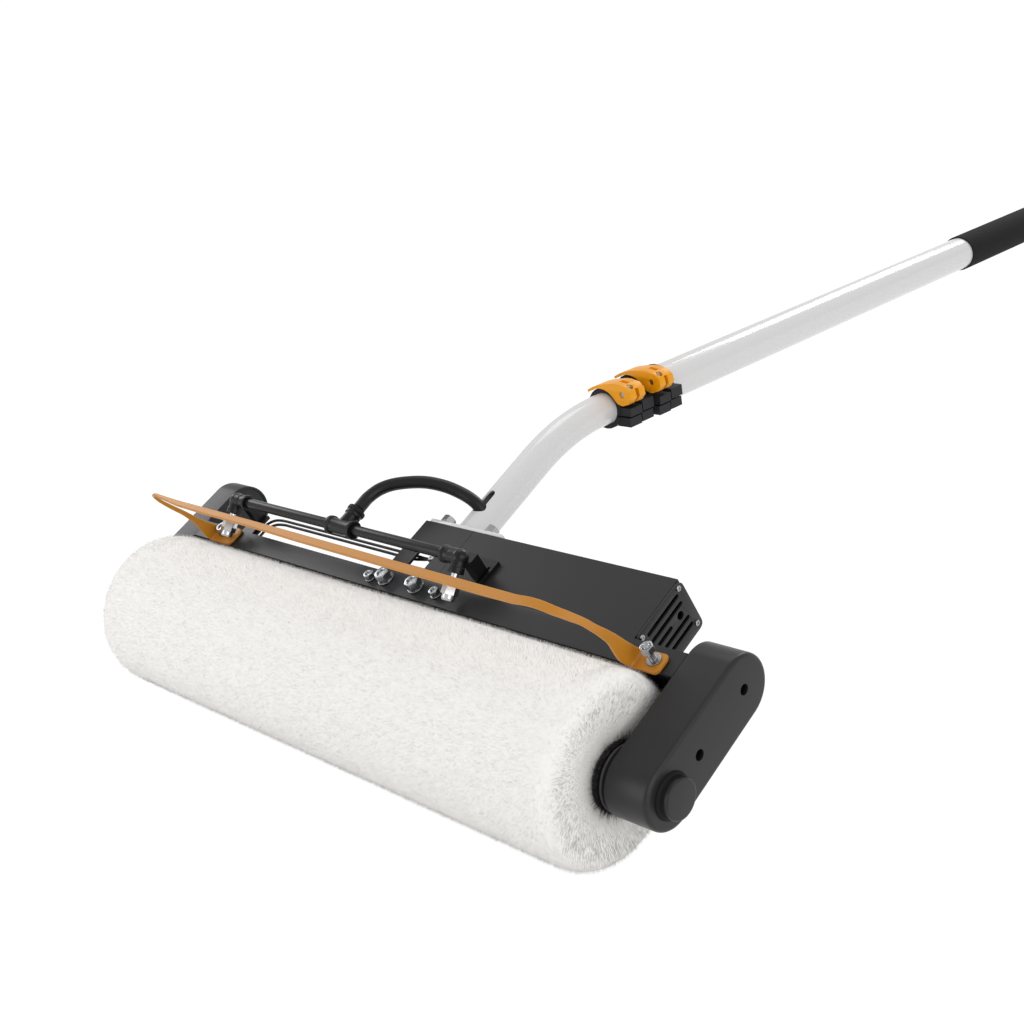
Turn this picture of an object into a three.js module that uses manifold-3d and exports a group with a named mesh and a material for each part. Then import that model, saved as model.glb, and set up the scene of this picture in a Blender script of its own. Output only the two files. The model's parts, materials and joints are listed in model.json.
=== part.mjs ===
// A motor-driven, water-fed roller brush for washing large flat surfaces, on a telescopic pole.
// Head axes: x along the brush towards the belt drive, y to the back, z from the brush to the pole.
// The machine rests on its roller and on the end of the pole's grip. Sizes are in millimetres.
import * as THREE from "three";
import { mergeVertices } from "three/addons/utils/BufferGeometryUtils.js";
import Module from "manifold-3d";

const wasm = await Module();
wasm.setup();

// ---- Driving dimensions ----

// Clearances
const seatGap = 0.3; // between pieces that touch
const runGap = 0.1; // between a shaft and its bearing
const sweepGap = 0.5; // between a lever and the ring that it closes on

// Roller brush, on the x axis
const brushLength = 600;
const brushRadius = 77;
const bristleRounding = 26;
const bristleSplay = 12; // how far the bristles spread past the core, around the hubs
const coreRadius = 24;
const coreWall = 3;
const hubRadius = 26;
const hubWidth = 18;
const hubPlug = 15; // how far a hub reaches into the core
const hubGroove = 2;
const shaftRadius = 6;

// End housings
const endGap = 22; // from the bristles' end to a housing's rim
const housingWall = 2.5;
const housingRounding = 4;
const coverDepth = 39;
const idlerDepth = 33;
const idlerExtra = 38.5; // how much further the idler housing reaches past the beam than the belt cover
const plateThickness = 2.5;
const plateRecess = 1;
const bearingRadius = 14;
const bearingWidth = 7.5;
const capRadius = 15.75;
const capHeight = 9;
const capPlug = 9.5;
const coverScrewAt = 36.5; // from the brush axis to the lower cover screw
const screwRecessRadius = 4.4;
const screwRecessDepth = 6;
const screwPostRadius = 6.5;

// Belt drive
const brushPulleyRadius = 18;
const motorPulleyRadius = 9;
const pulleyFlange = 2; // how far a flange stands above its pulley
const flangeThickness = 1.5;
const beltWidth = 10;
const beltThickness = 2.5;
const pulleyOffset = 11; // from the housings' rims to the pulleys
const motorShaftRadius = 4;
const beltClearance = 4; // between the belt and the housing around it

// Beam between the housings: a channel, open towards the brush
const beamClearance = 20.5; // from the bristles to the top of the beam
const beamDrop = 22.5;
const beamWall = 2.5;

// Motor and its box
const motorRadius = 17.5;
const motorLength = 78;
const gearheadRadius = 18;
const gearheadLength = 50;
const gearheadInset = 28.2; // from the gearhead's face to the open end of the box
const mountThickness = 3;
const mountHeight = 42;
const mountFoot = 14;
const boxHalfDepth = 25.5;
const boxHeight = 62.7;
const boxWall = 2.3;
const boxInset = 53.8; // from the box's open end to the belt housing's rim
const capThickness = 2.7;
const capCorner = 6;
const ventPitch = 8;
const ventWidth = 3.8;
const ventLow = 10.2; // these heights are from the foot of the box
const ventHigh = 53.7;
const shortVentHigh = 34.2;
const ventHoleAt = 47.8;
const ventHoleRadius = 3.6;

// Saddle that carries the pole
const saddleLeft = -31;
const saddleRight = 34;
const saddleWall = 2.5;
const windowLeft = -9;
const windowRight = 13.5;
const windowLow = 11.7; // from the foot of the saddle
const windowHigh = 31.2;

// Pole
const poleX = 4.5;
const flangeLeft = -28;
const flangeRight = 68;
const flangePlate = 3.8;
const poleTilt = THREE.MathUtils.degToRad(25);
const neckHeight = 225.5; // from the beam's top to where the straight runs of the neck would meet
const neckBend = 230;
const neckRadius = 16;
const tubeWall = 1.5;
const tubeStep = 2; // each tube's radius above that of the one inside it
const neckEnd = 930; // these lengths are from the neck's corner, along the pole
const middleEnd = 980;
const outerEnd = 1045;
const gripStart = 737;
const gripThickness = 1.5;
const slotWidth = 6.5;
const slotTop = 118.5; // from the beam's top

// Clamps
const clampStart = 57.3;
const clampLength = 38.5;
const clampPitch = 41.7;
const clampWall = 3;
const clampLip = 4;
const leverWidth = 21;
const leverOverhang = 4; // how far a lever starts before its ring
const earWidth = 3.4;
const leverPinAngle = THREE.MathUtils.degToRad(-31);
const leverPinOut = 12.2; // from the ring to the pin's axis
const leverPinRadius = 2.4;

// End cap and water inlet
const endCapLength = 12;
const endCapPlug = 25;
const inletRadius = 7;
const inletBore = 4;
const inletLength = 20;

// Guard bar
const guardClearance = 41.5; // from the bristles forward to the bar
const guardInset = 13; // from the bristles' end to an arm
const guardThickness = 3;
const guardBend = 18; // outer radius of the bend at the left corner
const guardBendRight = 45;
const guardTab = 34;
const guardTabRight = 27;
const guardTabHigh = 2.5; // these depths are from the beam's top
const guardArmHigh = 9.5;
const guardBarLow = 54.5;
const guardBarHigh = 45.2;
const guardTaper = 90; // the length over which the bar narrows to its left corner

// Spray line
const sprayStand = 28; // from the front of the beam forward to the spray pipe
const sprayAbove = 13.3; // from the beam's top to the spray pipe
const sprayInset = 43; // from the bristles' end to the left elbow
const sprayRight = 80;
const teeX = -83; // the tee's middle, on the same axis as the spray pipe's ends
const pipeRadius = 5;
const pipeBore = 3.5;
const fittingRadius = 7.5;
const elbowRadius = 8;
const teeLength = 36;
const socketDepth = 10;
const nozzleTilt = THREE.MathUtils.degToRad(30);
const nozzleRadius = 7.5;
const bracketHeight = 12;
const hoseRadius = 6;

// Lead to the motor box
const leadRadius = 1.5;
const leadFront = 18;
const leadAbove = 27.2; // from the foot of the saddle
const leadInset = 54; // from the bristles' end to the lead's bend
const leadBend = 8;
const glandRadius = 4.2;
const glandLength = 11.7;

// ---- Derived places ----

const rim = brushLength / 2 + endGap;
const housingRadius = brushPulleyRadius + beltThickness + beltClearance + housingWall;
const beamTop = brushRadius + beamClearance;
const shaftDistance = beamTop; // the motor is half sunk in the beam
const idlerReach = beamTop + idlerExtra;
const boxEnd = rim - boxInset;
const gearheadEnd = boxEnd - gearheadInset;
const neckCorner = beamTop + neckHeight;
const guardReach = brushRadius + guardClearance;
const guardHalf = brushLength / 2 - guardInset;
const guardTabLow = clearDepth(housingRadius, 0.9);
const sprayHeight = beamTop + sprayAbove;
const sprayFront = housingRadius + sprayStand;
const sprayLeft = -brushLength / 2 + sprayInset;
const plateInner = rim + plateRecess;
const pulleyStart = rim + pulleyOffset;
const pulleyWidth = beltWidth + 2 * flangeThickness + 1;
const frontFace = -housingRadius;
const boxLow = beamTop + seatGap;
const boxTop = boxLow + boxHeight;
const motorBoxLeft = saddleRight + seatGap;
const flangeLow = boxTop + seatGap;
const flangeTop = flangeLow + flangePlate;
const bodyRadius = { neck: neckRadius, middle: neckRadius + tubeStep, outer: neckRadius + 2 * tubeStep };
const hubStart = brushLength / 2 + seatGap;
const branchTop = sprayHeight + 18;

// How far below the beam's top a piece ends that clears the bristles by a gap, at a place in
// front of the brush's axis.
function clearDepth(front, gap) {
  return beamTop - Math.sqrt((brushRadius + gap) ** 2 - front * front);
}

// ---- Materials ----

const finishes = {
  bristle: [0xe9e7e4, 0.95, 0],
  blackPaint: [0x434244, 0.55, 0.1],
  blackPlastic: [0x2c2b2d, 0.5, 0],
  clampPlastic: [0x343336, 0.55, 0],
  orange: [0xe09a1c, 0.45, 0.1],
  whitePole: [0xe4e3e2, 0.3, 0.1],
  grip: [0x232325, 0.85, 0],
  rubber: [0x2b2a2b, 0.6, 0],
  steel: [0xb9bcc0, 0.35, 1],
  zinc: [0xc6c8cb, 0.3, 1],
  aluminium: [0xa9abae, 0.4, 1],
};

function finish(name) {
  const [color, roughness, metalness] = finishes[name];
  return new THREE.MeshStandardMaterial({ color, roughness, metalness });
}

// ---- Solids ----

function toSolid(geometry) {
  const bare = new THREE.BufferGeometry();
  const flat = geometry.index ? geometry.toNonIndexed() : geometry;
  bare.setAttribute("position", flat.getAttribute("position"));
  const merged = mergeVertices(bare, 1e-4);
  return new wasm.Manifold(
    new wasm.Mesh({
      numProp: 3,
      vertProperties: merged.attributes.position.array,
      triVerts: new Uint32Array(merged.index.array),
    }),
  );
}

function toGeometry(solid) {
  const mesh = solid.getMesh();
  const geometry = new THREE.BufferGeometry();
  const places = new Float32Array(mesh.numVert * 3);
  for (let i = 0; i < mesh.numVert; i++) {
    const start = i * mesh.numProp;
    places.set(mesh.vertProperties.subarray(start, start + 3), i * 3);
  }
  geometry.setAttribute("position", new THREE.BufferAttribute(places, 3));
  geometry.setIndex(new THREE.BufferAttribute(mesh.triVerts, 1));
  geometry.computeVertexNormals();
  return geometry;
}

function join(...geometries) {
  return toGeometry(geometries.map(toSolid).reduce((sum, next) => sum.add(next)));
}

function cut(geometry, ...tools) {
  return toGeometry(tools.map(toSolid).reduce((rest, tool) => rest.subtract(tool), toSolid(geometry)));
}

function common(first, second) {
  return toGeometry(toSolid(first).intersect(toSolid(second)));
}

function block(x0, x1, y0, y1, z0, z1) {
  const geometry = new THREE.BoxGeometry(x1 - x0, y1 - y0, z1 - z0);
  return geometry.translate((x0 + x1) / 2, (y0 + y1) / 2, (z0 + z1) / 2);
}

// Turns a shape's own axes into two of the part's, with the extrusion along the third.
const alongX = new THREE.Matrix4().makeBasis(
  new THREE.Vector3(0, 1, 0),
  new THREE.Vector3(0, 0, 1),
  new THREE.Vector3(1, 0, 0),
);
const alongY = new THREE.Matrix4().makeBasis(
  new THREE.Vector3(1, 0, 0),
  new THREE.Vector3(0, 0, 1),
  new THREE.Vector3(0, -1, 0),
);

function extrude(shape, depth, curveSegments = 8) {
  return new THREE.ExtrudeGeometry(shape, { depth, curveSegments, bevelEnabled: false });
}

function extrudeX(shape, x0, x1, curveSegments) {
  return extrude(shape, x1 - x0, curveSegments).applyMatrix4(alongX).translate(x0, 0, 0);
}

function extrudeY(shape, y0, y1, curveSegments) {
  return extrude(shape, y1 - y0, curveSegments).applyMatrix4(alongY).translate(0, y1, 0);
}

function extrudeZ(shape, z0, z1, curveSegments) {
  return extrude(shape, z1 - z0, curveSegments).translate(0, 0, z0);
}

function rod(radius, start, end, sides = 16) {
  const from = new THREE.Vector3(...start);
  const way = new THREE.Vector3(...end).sub(from);
  const geometry = new THREE.CylinderGeometry(radius, radius, way.length(), sides);
  geometry.translate(0, way.length() / 2, 0);
  const turn = new THREE.Quaternion().setFromUnitVectors(new THREE.Vector3(0, 1, 0), way.normalize());
  return geometry.applyQuaternion(turn).translate(...from);
}

// A turned piece: the profile's points are [radius, place along the axis].
function turned(profile, sides = 24) {
  const points = profile.map(([radius, along]) => new THREE.Vector2(radius, along));
  return new THREE.LatheGeometry(points, sides);
}

function turnedX(profile, sides) {
  return turned(profile, sides).rotateZ(-Math.PI / 2);
}

function turnedZ(profile, sides) {
  return turned(profile, sides).rotateX(Math.PI / 2);
}

function ring(inner, outer, start, end) {
  return [[inner, start], [outer, start], [outer, end], [inner, end], [inner, start]];
}

function polygon(points) {
  return new THREE.Shape(points.map(([a, b]) => new THREE.Vector2(a, b)));
}

function circle(radius, a = 0, b = 0) {
  return new THREE.Shape().absarc(a, b, radius, 0, 2 * Math.PI, false);
}

// An outline with two straight sides and round ends, in the y and z axes.
function stadium(radius, low, high) {
  const shape = new THREE.Shape();
  shape.absarc(0, high, radius, 0, Math.PI, false);
  shape.absarc(0, low, radius, Math.PI, 2 * Math.PI, false);
  shape.closePath();
  return shape;
}

function roundedRectangle(a0, a1, b0, b1, r) {
  const shape = new THREE.Shape();
  shape.absarc(a1 - r, b1 - r, r, 0, Math.PI / 2, false);
  shape.absarc(a0 + r, b1 - r, r, Math.PI / 2, Math.PI, false);
  shape.absarc(a0 + r, b0 + r, r, Math.PI, 1.5 * Math.PI, false);
  shape.absarc(a1 - r, b0 + r, r, 1.5 * Math.PI, 2 * Math.PI, false);
  shape.closePath();
  return shape;
}

function alongCurve(curve, radius, steps, sides) {
  const options = { steps, extrudePath: curve, curveSegments: sides / 2 };
  return new THREE.ExtrudeGeometry(circle(radius), options);
}

const machine = new THREE.Group();

function group(parent) {
  const made = new THREE.Group();
  parent.add(made);
  return made;
}

const head = group(machine);

function piece(parent, name, geometry, finishName) {
  const mesh = new THREE.Mesh(geometry, finish(finishName));
  mesh.name = name;
  parent.add(mesh);
  return mesh;
}

// ---- Roller brush ----

function makeBrush() {
  const half = brushLength / 2;
  const end = half + bristleSplay;
  const root = coreRadius + seatGap;
  const mouth = hubRadius + 1.5; // clear of the hubs
  const profile = [[root, -half], [mouth, -half], [mouth, -end]];
  const arcSteps = 4;
  for (const side of [-1, 1]) {
    for (let i = 0; i <= arcSteps; i++) {
      const turn = ((side < 0 ? i : arcSteps - i) / arcSteps) * (Math.PI / 2);
      const radius = brushRadius - bristleRounding + bristleRounding * Math.sin(turn);
      profile.push([radius, side * (end - bristleRounding + bristleRounding * Math.cos(turn))]);
    }
  }
  profile.push([mouth, end], [mouth, half], [root, half], [root, -half]);
  piece(head, "bristles", turnedX(profile, 32), "bristle");
  piece(head, "brush_core", turnedX(ring(coreRadius - coreWall, coreRadius, -half, half)), "blackPlastic");
}

function hubProfile() {
  const bore = shaftRadius + seatGap;
  const plug = coreRadius - coreWall - seatGap;
  const floor = hubRadius - hubGroove;
  const profile = [[bore, hubStart - hubPlug], [plug, hubStart - hubPlug], [plug, hubStart]];
  const pitch = hubWidth / 5;
  for (let i = 0; i < 5; i++) {
    const radius = i % 2 ? floor : hubRadius;
    profile.push([radius, hubStart + i * pitch], [radius, hubStart + (i + 1) * pitch]);
  }
  profile.push([bore, hubStart + hubWidth], [bore, hubStart - hubPlug]);
  return profile;
}

function makeHubs() {
  piece(head, "hub_drive", turnedX(hubProfile(), 20), "blackPlastic");
  piece(head, "hub_idle", turnedX(hubProfile(), 20).rotateY(Math.PI), "blackPlastic");
  const inside = hubStart - hubPlug + 2;
  const driveEnd = rim + coverDepth - 5;
  const idleEnd = rim + idlerDepth - 10;
  piece(head, "drive_shaft", rod(shaftRadius, [inside, 0, 0], [driveEnd, 0, 0], 24), "steel");
  piece(head, "idle_shaft", rod(shaftRadius, [-idleEnd, 0, 0], [-inside, 0, 0], 24), "steel");
}

// ---- End housings ----

// A deep cup, open towards the brush, with its outer edge rounded.
function housingShell(depth, reach) {
  const r = housingRounding;
  const outer = new THREE.ExtrudeGeometry(stadium(housingRadius - r, 0, reach), {
    depth,
    curveSegments: 8,
    bevelEnabled: true,
    bevelSize: r,
    bevelThickness: r,
    bevelSegments: 2,
  });
  outer.applyMatrix4(alongX).translate(rim - r, 0, 0);
  const reachAll = 2 * housingRadius + reach;
  const waste = block(rim - 3 * r, rim, -reachAll, reachAll, -reachAll, reachAll);
  const inside = stadium(housingRadius - housingWall, 0, reach);
  const hollow = extrudeX(inside, rim - 1, rim + depth - housingWall, 8);
  return cut(outer, waste, hollow);
}

// The plate that closes a housing and holds the bearing of the brush.
function endPlate(reach) {
  const outline = stadium(housingRadius - housingWall - seatGap, 0, reach);
  const plate = extrudeX(outline, plateInner, plateInner + plateThickness, 8);
  const seat = bearingRadius + seatGap;
  const boss = rod(seat + 3, [plateInner, 0, 0], [plateInner + bearingWidth, 0, 0], 24);
  const bore = rod(seat, [plateInner - 1, 0, 0], [plateInner + bearingWidth + 1, 0, 0], 24);
  return cut(join(plate, boss), bore);
}

function makeHousings() {
  const face = rim + coverDepth;
  const posts = [];
  const recesses = [];
  const screws = [[coverScrewAt, plateInner + plateThickness + seatGap], [shaftDistance, face - 8.5]];
  for (const [z, postStart] of screws) {
    posts.push(rod(screwPostRadius, [postStart, 0, z], [face - 1, 0, z], 12));
    recesses.push(rod(screwRecessRadius, [face - screwRecessDepth, 0, z], [face + 1, 0, z], 16));
  }
  const capBore = rod(capPlug + seatGap, [face - 10, 0, 0], [face + 1, 0, 0], 24);
  const cover = join(housingShell(coverDepth, shaftDistance), ...posts);
  piece(head, "belt_cover", cut(cover, capBore, ...recesses), "blackPaint");

  const shaftHole = rod(motorShaftRadius + 1, [rim, 0, shaftDistance], [rim + 10, 0, shaftDistance], 20);
  piece(head, "belt_backplate", cut(endPlate(shaftDistance), shaftHole), "blackPaint");

  const capFoot = face + seatGap;
  const capProfile = [
    [0, face - housingWall],
    [capPlug, face - housingWall],
    [capPlug, capFoot],
    [capRadius + 2.5, capFoot],
    [capRadius + 0.8, capFoot + 1],
    [capRadius, capFoot + 2.5],
    [capRadius, capFoot + capHeight - 1.5],
    [capRadius - 1.5, capFoot + capHeight],
    [0, capFoot + capHeight],
  ];
  piece(head, "bearing_cap", turnedX(capProfile), "blackPaint");

  const idler = housingShell(idlerDepth, idlerReach).rotateZ(Math.PI);
  piece(head, "idler_housing", idler, "blackPaint");
  piece(head, "idler_plate", endPlate(idlerReach).rotateZ(Math.PI), "blackPaint");

  const race = ring(shaftRadius + runGap, bearingRadius, plateInner, plateInner + bearingWidth);
  piece(head, "bearing_drive", turnedX(race), "steel");
  piece(head, "bearing_idle", turnedX(race).rotateY(Math.PI), "steel");
}

// ---- Belt drive ----

function pulley(radius, bore) {
  const end = pulleyStart + pulleyWidth;
  const inner = pulleyStart + flangeThickness;
  const outer = end - flangeThickness;
  const lip = radius + pulleyFlange;
  return turnedX([
    [bore, pulleyStart],
    [lip, pulleyStart],
    [lip, inner],
    [radius, inner],
    [radius, outer],
    [lip, outer],
    [lip, end],
    [bore, end],
    [bore, pulleyStart],
  ]);
}

// The outline of a belt's surface at the given radii: two arcs and their shared tangents.
function beltOutline(path, lowRadius, highRadius) {
  const lean = Math.asin((lowRadius - highRadius) / shaftDistance);
  path.absarc(0, shaftDistance, highRadius, lean, Math.PI - lean, false);
  path.absarc(0, 0, lowRadius, Math.PI - lean, 2 * Math.PI + lean, false);
  path.closePath();
  return path;
}

function makeBeltDrive() {
  piece(head, "brush_pulley", pulley(brushPulleyRadius, shaftRadius + seatGap), "aluminium");
  const small = pulley(motorPulleyRadius, motorShaftRadius + seatGap);
  piece(head, "motor_pulley", small.translate(0, 0, shaftDistance), "aluminium");
  const low = brushPulleyRadius + seatGap;
  const high = motorPulleyRadius + seatGap;
  const outline = beltOutline(new THREE.Shape(), low + beltThickness, high + beltThickness);
  outline.holes.push(beltOutline(new THREE.Path(), low, high));
  const start = pulleyStart + (pulleyWidth - beltWidth) / 2;
  piece(head, "drive_belt", extrudeX(outline, start, start + beltWidth, 10), "rubber");
}

// ---- Beam, motor and box ----

function makeBeam() {
  const end = rim - seatGap;
  const low = beamTop - beamDrop;
  const inside = housingRadius - beamWall;
  const section = polygon([
    [-housingRadius, low],
    [-inside, low],
    [-inside, beamTop - beamWall],
    [inside, beamTop - beamWall],
    [inside, low],
    [housingRadius, low],
    [housingRadius, beamTop],
    [-housingRadius, beamTop],
  ]);
  const motorStart = gearheadEnd - gearheadLength - motorLength - 4;
  const half = gearheadRadius + 0.6;
  const over = beamTop + 1;
  const motorWindow = block(motorStart, gearheadEnd + seatGap, -half, half, low, over);
  const shaftSlot = block(gearheadEnd, end + 1, -motorShaftRadius - 2, motorShaftRadius + 2, low, over);
  const beam = extrudeX(section, -end, end);
  piece(head, "beam", cut(beam, motorWindow, shaftSlot), "blackPaint");
}

function makeMotor() {
  const z = shaftDistance;
  const gearStart = gearheadEnd - gearheadLength;
  const canEnd = gearStart - seatGap;
  const can = rod(motorRadius, [canEnd - motorLength, 0, z], [canEnd, 0, z], 32);
  piece(head, "motor_can", can, "steel");
  const boss = rod(6, [gearheadEnd - 5, 0, z], [gearheadEnd, 0, z], 24);
  const gearhead = join(rod(gearheadRadius, [gearStart, 0, z], [gearheadEnd - 3, 0, z], 32), boss);
  piece(head, "motor_gearhead", gearhead, "aluminium");
  const shaftEnd = pulleyStart + pulleyWidth + 2;
  const shaft = rod(motorShaftRadius, [gearheadEnd + seatGap, 0, z], [shaftEnd, 0, z], 24);
  piece(head, "motor_shaft", shaft, "steel");

  const half = boxHalfDepth - boxWall - seatGap;
  const plateStart = gearheadEnd - 3 + seatGap;
  const wall = block(plateStart, plateStart + mountThickness, -half, half, boxLow, boxLow + mountHeight);
  const foot = block(plateStart, plateStart + mountFoot, -half, half, boxLow, boxLow + mountThickness);
  const hole = rod(6.3, [plateStart - 1, 0, z], [plateStart + mountFoot + 1, 0, z], 24);
  piece(head, "motor_mount", cut(join(wall, foot), hole), "steel");
}

function makeMotorBox() {
  const y = boxHalfDepth;
  const outer = block(motorBoxLeft, boxEnd, -y, y, boxLow, boxTop);
  const inner = boxHalfDepth - boxWall;
  const hollow = block(motorBoxLeft + boxWall, boxEnd + 1, -inner, inner, boxLow - 1, boxTop - boxWall);
  piece(head, "motor_box", cut(outer, hollow), "blackPaint");

  const start = boxEnd + seatGap;
  const end = start + capThickness;
  const plate = extrudeX(roundedRectangle(-y, y, boxLow, boxTop, capCorner), start, end, 4);
  const tools = [];
  for (let column = -2; column <= 2; column++) {
    const top = column === 0 ? shortVentHigh : ventHigh;
    const slot = stadium(ventWidth / 2, boxLow + ventLow, boxLow + top);
    tools.push(extrudeX(slot, start - 1, end + 1, 4).translate(0, column * ventPitch, 0));
  }
  const holeAt = boxLow + ventHoleAt;
  tools.push(rod(ventHoleRadius, [start - 1, 0, holeAt], [end + 1, 0, holeAt], 16));
  const notch = motorShaftRadius + 2;
  tools.push(block(start - 1, end + 1, -notch, notch, boxLow - 1, shaftDistance + notch));
  piece(head, "vented_end_cap", cut(plate, ...tools), "blackPaint");
}

// ---- Saddle, neck and flange ----

function makeSaddle() {
  const y = boxHalfDepth;
  const inner = y - saddleWall;
  const roof = boxTop - saddleWall;
  const outer = block(saddleLeft, saddleRight, -y, y, boxLow, boxTop);
  const ribLeft = windowRight + 0.5;
  const leftBay = block(saddleLeft - 1, ribLeft, -inner, inner, boxLow - 1, roof);
  const rightBay = block(ribLeft + saddleWall, saddleRight + 1, -inner, inner, boxLow - 1, roof);
  const window = block(windowLeft, windowRight, -y - 1, y + 1, boxLow + windowLow, boxLow + windowHigh);
  piece(head, "pole_saddle", cut(outer, leftBay, rightBay, window), "blackPaint");

  const flange = roundedRectangle(flangeLeft, flangeRight, -y, y, 3);
  piece(head, "pole_flange", extrudeZ(flange, flangeLow, flangeTop, 3), "whitePole");
}

// The neck: straight up, a bend, then straight along the pole. Each step of the bend is one step
// of the curve's own parameter, and so is each straight run.
const bendSteps = 6;

class NeckPath extends THREE.Curve {
  getUtoTmapping(u) {
    return u;
  }

  getPoint(t, target = new THREE.Vector3()) {
    const step = t * (bendSteps + 2);
    const bendStart = neckCorner - neckBend * Math.tan(poleTilt / 2);
    const low = flangeTop + seatGap;
    if (step <= 1) return target.set(poleX, 0, low + (bendStart - low) * step);
    const turn = poleTilt * Math.min((step - 1) / bendSteps, 1);
    const y = neckBend * (1 - Math.cos(turn));
    const z = bendStart + neckBend * Math.sin(turn);
    const run = neckEnd - neckBend * Math.tan(poleTilt / 2);
    const past = Math.max(step - 1 - bendSteps, 0) * run;
    return target.set(poleX, y + past * Math.sin(poleTilt), z + past * Math.cos(poleTilt));
  }
}

// The route of the hose, from the tee's nut into the neck.
const hoseRoute = [
  [teeX, -sprayFront, branchTop + 6],
  [teeX - 0.5, -sprayFront, branchTop + 12],
  [teeX - 0.5, -sprayFront, branchTop + 22],
  [-79, -54, beamTop + 66.5],
  [-68, -51, beamTop + 78.5],
  [-48, -45, beamTop + 90.5],
  [-31, -36.5, beamTop + 97.5],
  [-15, -28, beamTop + 100],
  [-2, -20.5, beamTop + 99.5],
  [6, -11, beamTop + 97.5],
  [9, -1, beamTop + 94.5],
];

function hoseCurve() {
  return new THREE.CatmullRomCurve3(hoseRoute.map((point) => new THREE.Vector3(...point)));
}

function makeNeck() {
  const options = { steps: bendSteps + 2, extrudePath: new NeckPath(), curveSegments: 12 };
  const section = circle(neckRadius);
  section.holes.push(circle(neckRadius - tubeWall));
  const tube = new THREE.ExtrudeGeometry(section, options);
  const slot = new THREE.Shape();
  const half = slotWidth / 2;
  const slotLow = hoseRoute[hoseRoute.length - 2][2];
  slot.absarc(poleX, beamTop + slotTop - half, half, 0, Math.PI, false);
  slot.absarc(poleX, slotLow, half, Math.PI, 2 * Math.PI, false);
  slot.closePath();
  const slotTool = extrudeY(slot, -neckRadius - 5, -neckRadius / 2);
  const hoseTool = alongCurve(hoseCurve(), hoseRadius + sweepGap, 20, 12);
  piece(head, "gooseneck_tube", cut(tube, slotTool, hoseTool), "whitePole");
  piece(head, "water_hose", alongCurve(hoseCurve(), hoseRadius, 22, 10), "rubber");
}

// ---- Fasteners ----

// A nut on the end of a bolt, along the z axis from the origin.
function nutAndBolt(acrossCorners, height, boltRadius, boltOut) {
  const half = acrossCorners / 2;
  const nut = turnedZ([[0, 1], [half, 1], [half, height - 0.6], [half - 0.9, height], [0, height]], 6);
  const washer = rod(half + 1.2, [0, 0, 0], [0, 0, 1.2], 12);
  const bolt = rod(boltRadius, [0, 0, height - 1], [0, 0, height + boltOut], 8);
  return join(nut, washer, bolt);
}

function frontNut(name, x, z, start, acrossCorners, height, boltRadius) {
  const geometry = nutAndBolt(acrossCorners, height, boltRadius, 2.5);
  piece(head, name, geometry.rotateX(Math.PI / 2).translate(x, start, z), "zinc");
}

function makeFasteners() {
  const onPlate = frontFace - seatGap;
  frontNut("saddle_nut_left", -17, beamTop - 10.5, onPlate, 15, 8, 4);
  frontNut("saddle_nut_right", 24, beamTop - 10, onPlate, 15, 8, 4);
  frontNut("plate_nut_left", -35.5, beamTop - 13.5, onPlate, 10, 5, 2.5);
  frontNut("plate_nut_right", 52.5, beamTop - 11.5, onPlate, 10, 5, 2.5);
  const onTab = onPlate - guardThickness - seatGap;
  const tabMiddle = beamTop - (guardTabLow + guardTabHigh) / 2;
  frontNut("guard_nut_left", -guardHalf + 13, tabMiddle + 2, onTab, 13, 7, 3.5);
  frontNut("guard_nut_right", guardHalf + 15, tabMiddle - 2, onTab, 13, 7, 3.5);
  const flangeBolts = [["flange_bolt_left", poleX - neckRadius - 1.5], ["flange_bolt_right", 45]];
  for (const [name, x] of flangeBolts) {
    const bolt = nutAndBolt(13, 7, 3.5, 2.5).translate(x, -boxHalfDepth + 7, flangeTop + seatGap);
    piece(head, name, bolt, "zinc");
  }
}

// ---- Guard ----

// A flat bar, seen from above: the front run, two rounded corners, two arms, and two tabs
// that both turn towards the belt drive.
function guardPlan() {
  const back = -housingRadius - seatGap;
  const t = guardThickness;
  const small = guardBend;
  const large = guardBendRight;
  const left = -guardHalf;
  const right = guardHalf;
  const front = -guardReach;
  const tabEnd = right - t + guardTabRight;
  const shape = new THREE.Shape();
  shape.absarc(left + small, front + small, small, Math.PI, 1.5 * Math.PI, false);
  shape.absarc(right - large, front + large, large, 1.5 * Math.PI, 2 * Math.PI, false);
  shape.lineTo(right, back - t);
  shape.lineTo(tabEnd, back - t);
  shape.lineTo(tabEnd, back);
  shape.lineTo(right - t, back);
  shape.absarc(right - large, front + large, large - t, 2 * Math.PI, 1.5 * Math.PI, true);
  shape.absarc(left + small, front + small, small - t, 1.5 * Math.PI, Math.PI, true);
  shape.lineTo(left + t, back - t);
  shape.lineTo(left + guardTab, back - t);
  shape.lineTo(left + guardTab, back);
  shape.lineTo(left, back);
  shape.closePath();
  return shape;
}

// The same bar from the side: deep at the tabs, then falling and narrowing to the front run. The
// lower edge's places are how far each is behind the front, and how far below the beam's top.
function guardSide(lowerEdge) {
  const tab = -housingRadius - guardThickness - 1;
  const outside = -guardReach - 1;
  const places = [
    [outside, lowerEdge[0][1]],
    ...lowerEdge.map(([behind, depth]) => [-guardReach + behind, depth]),
    [tab, clearDepth(tab, 0.3)],
    [tab, guardTabLow],
    [-housingRadius, guardTabLow],
    [-housingRadius, guardTabHigh],
    [tab, guardTabHigh],
    [tab, guardArmHigh],
    [-guardReach + guardThickness + 1, guardBarHigh - 1],
    [outside, guardBarHigh],
  ];
  return polygon(places.map(([y, depth]) => [y, beamTop - depth]));
}

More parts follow.
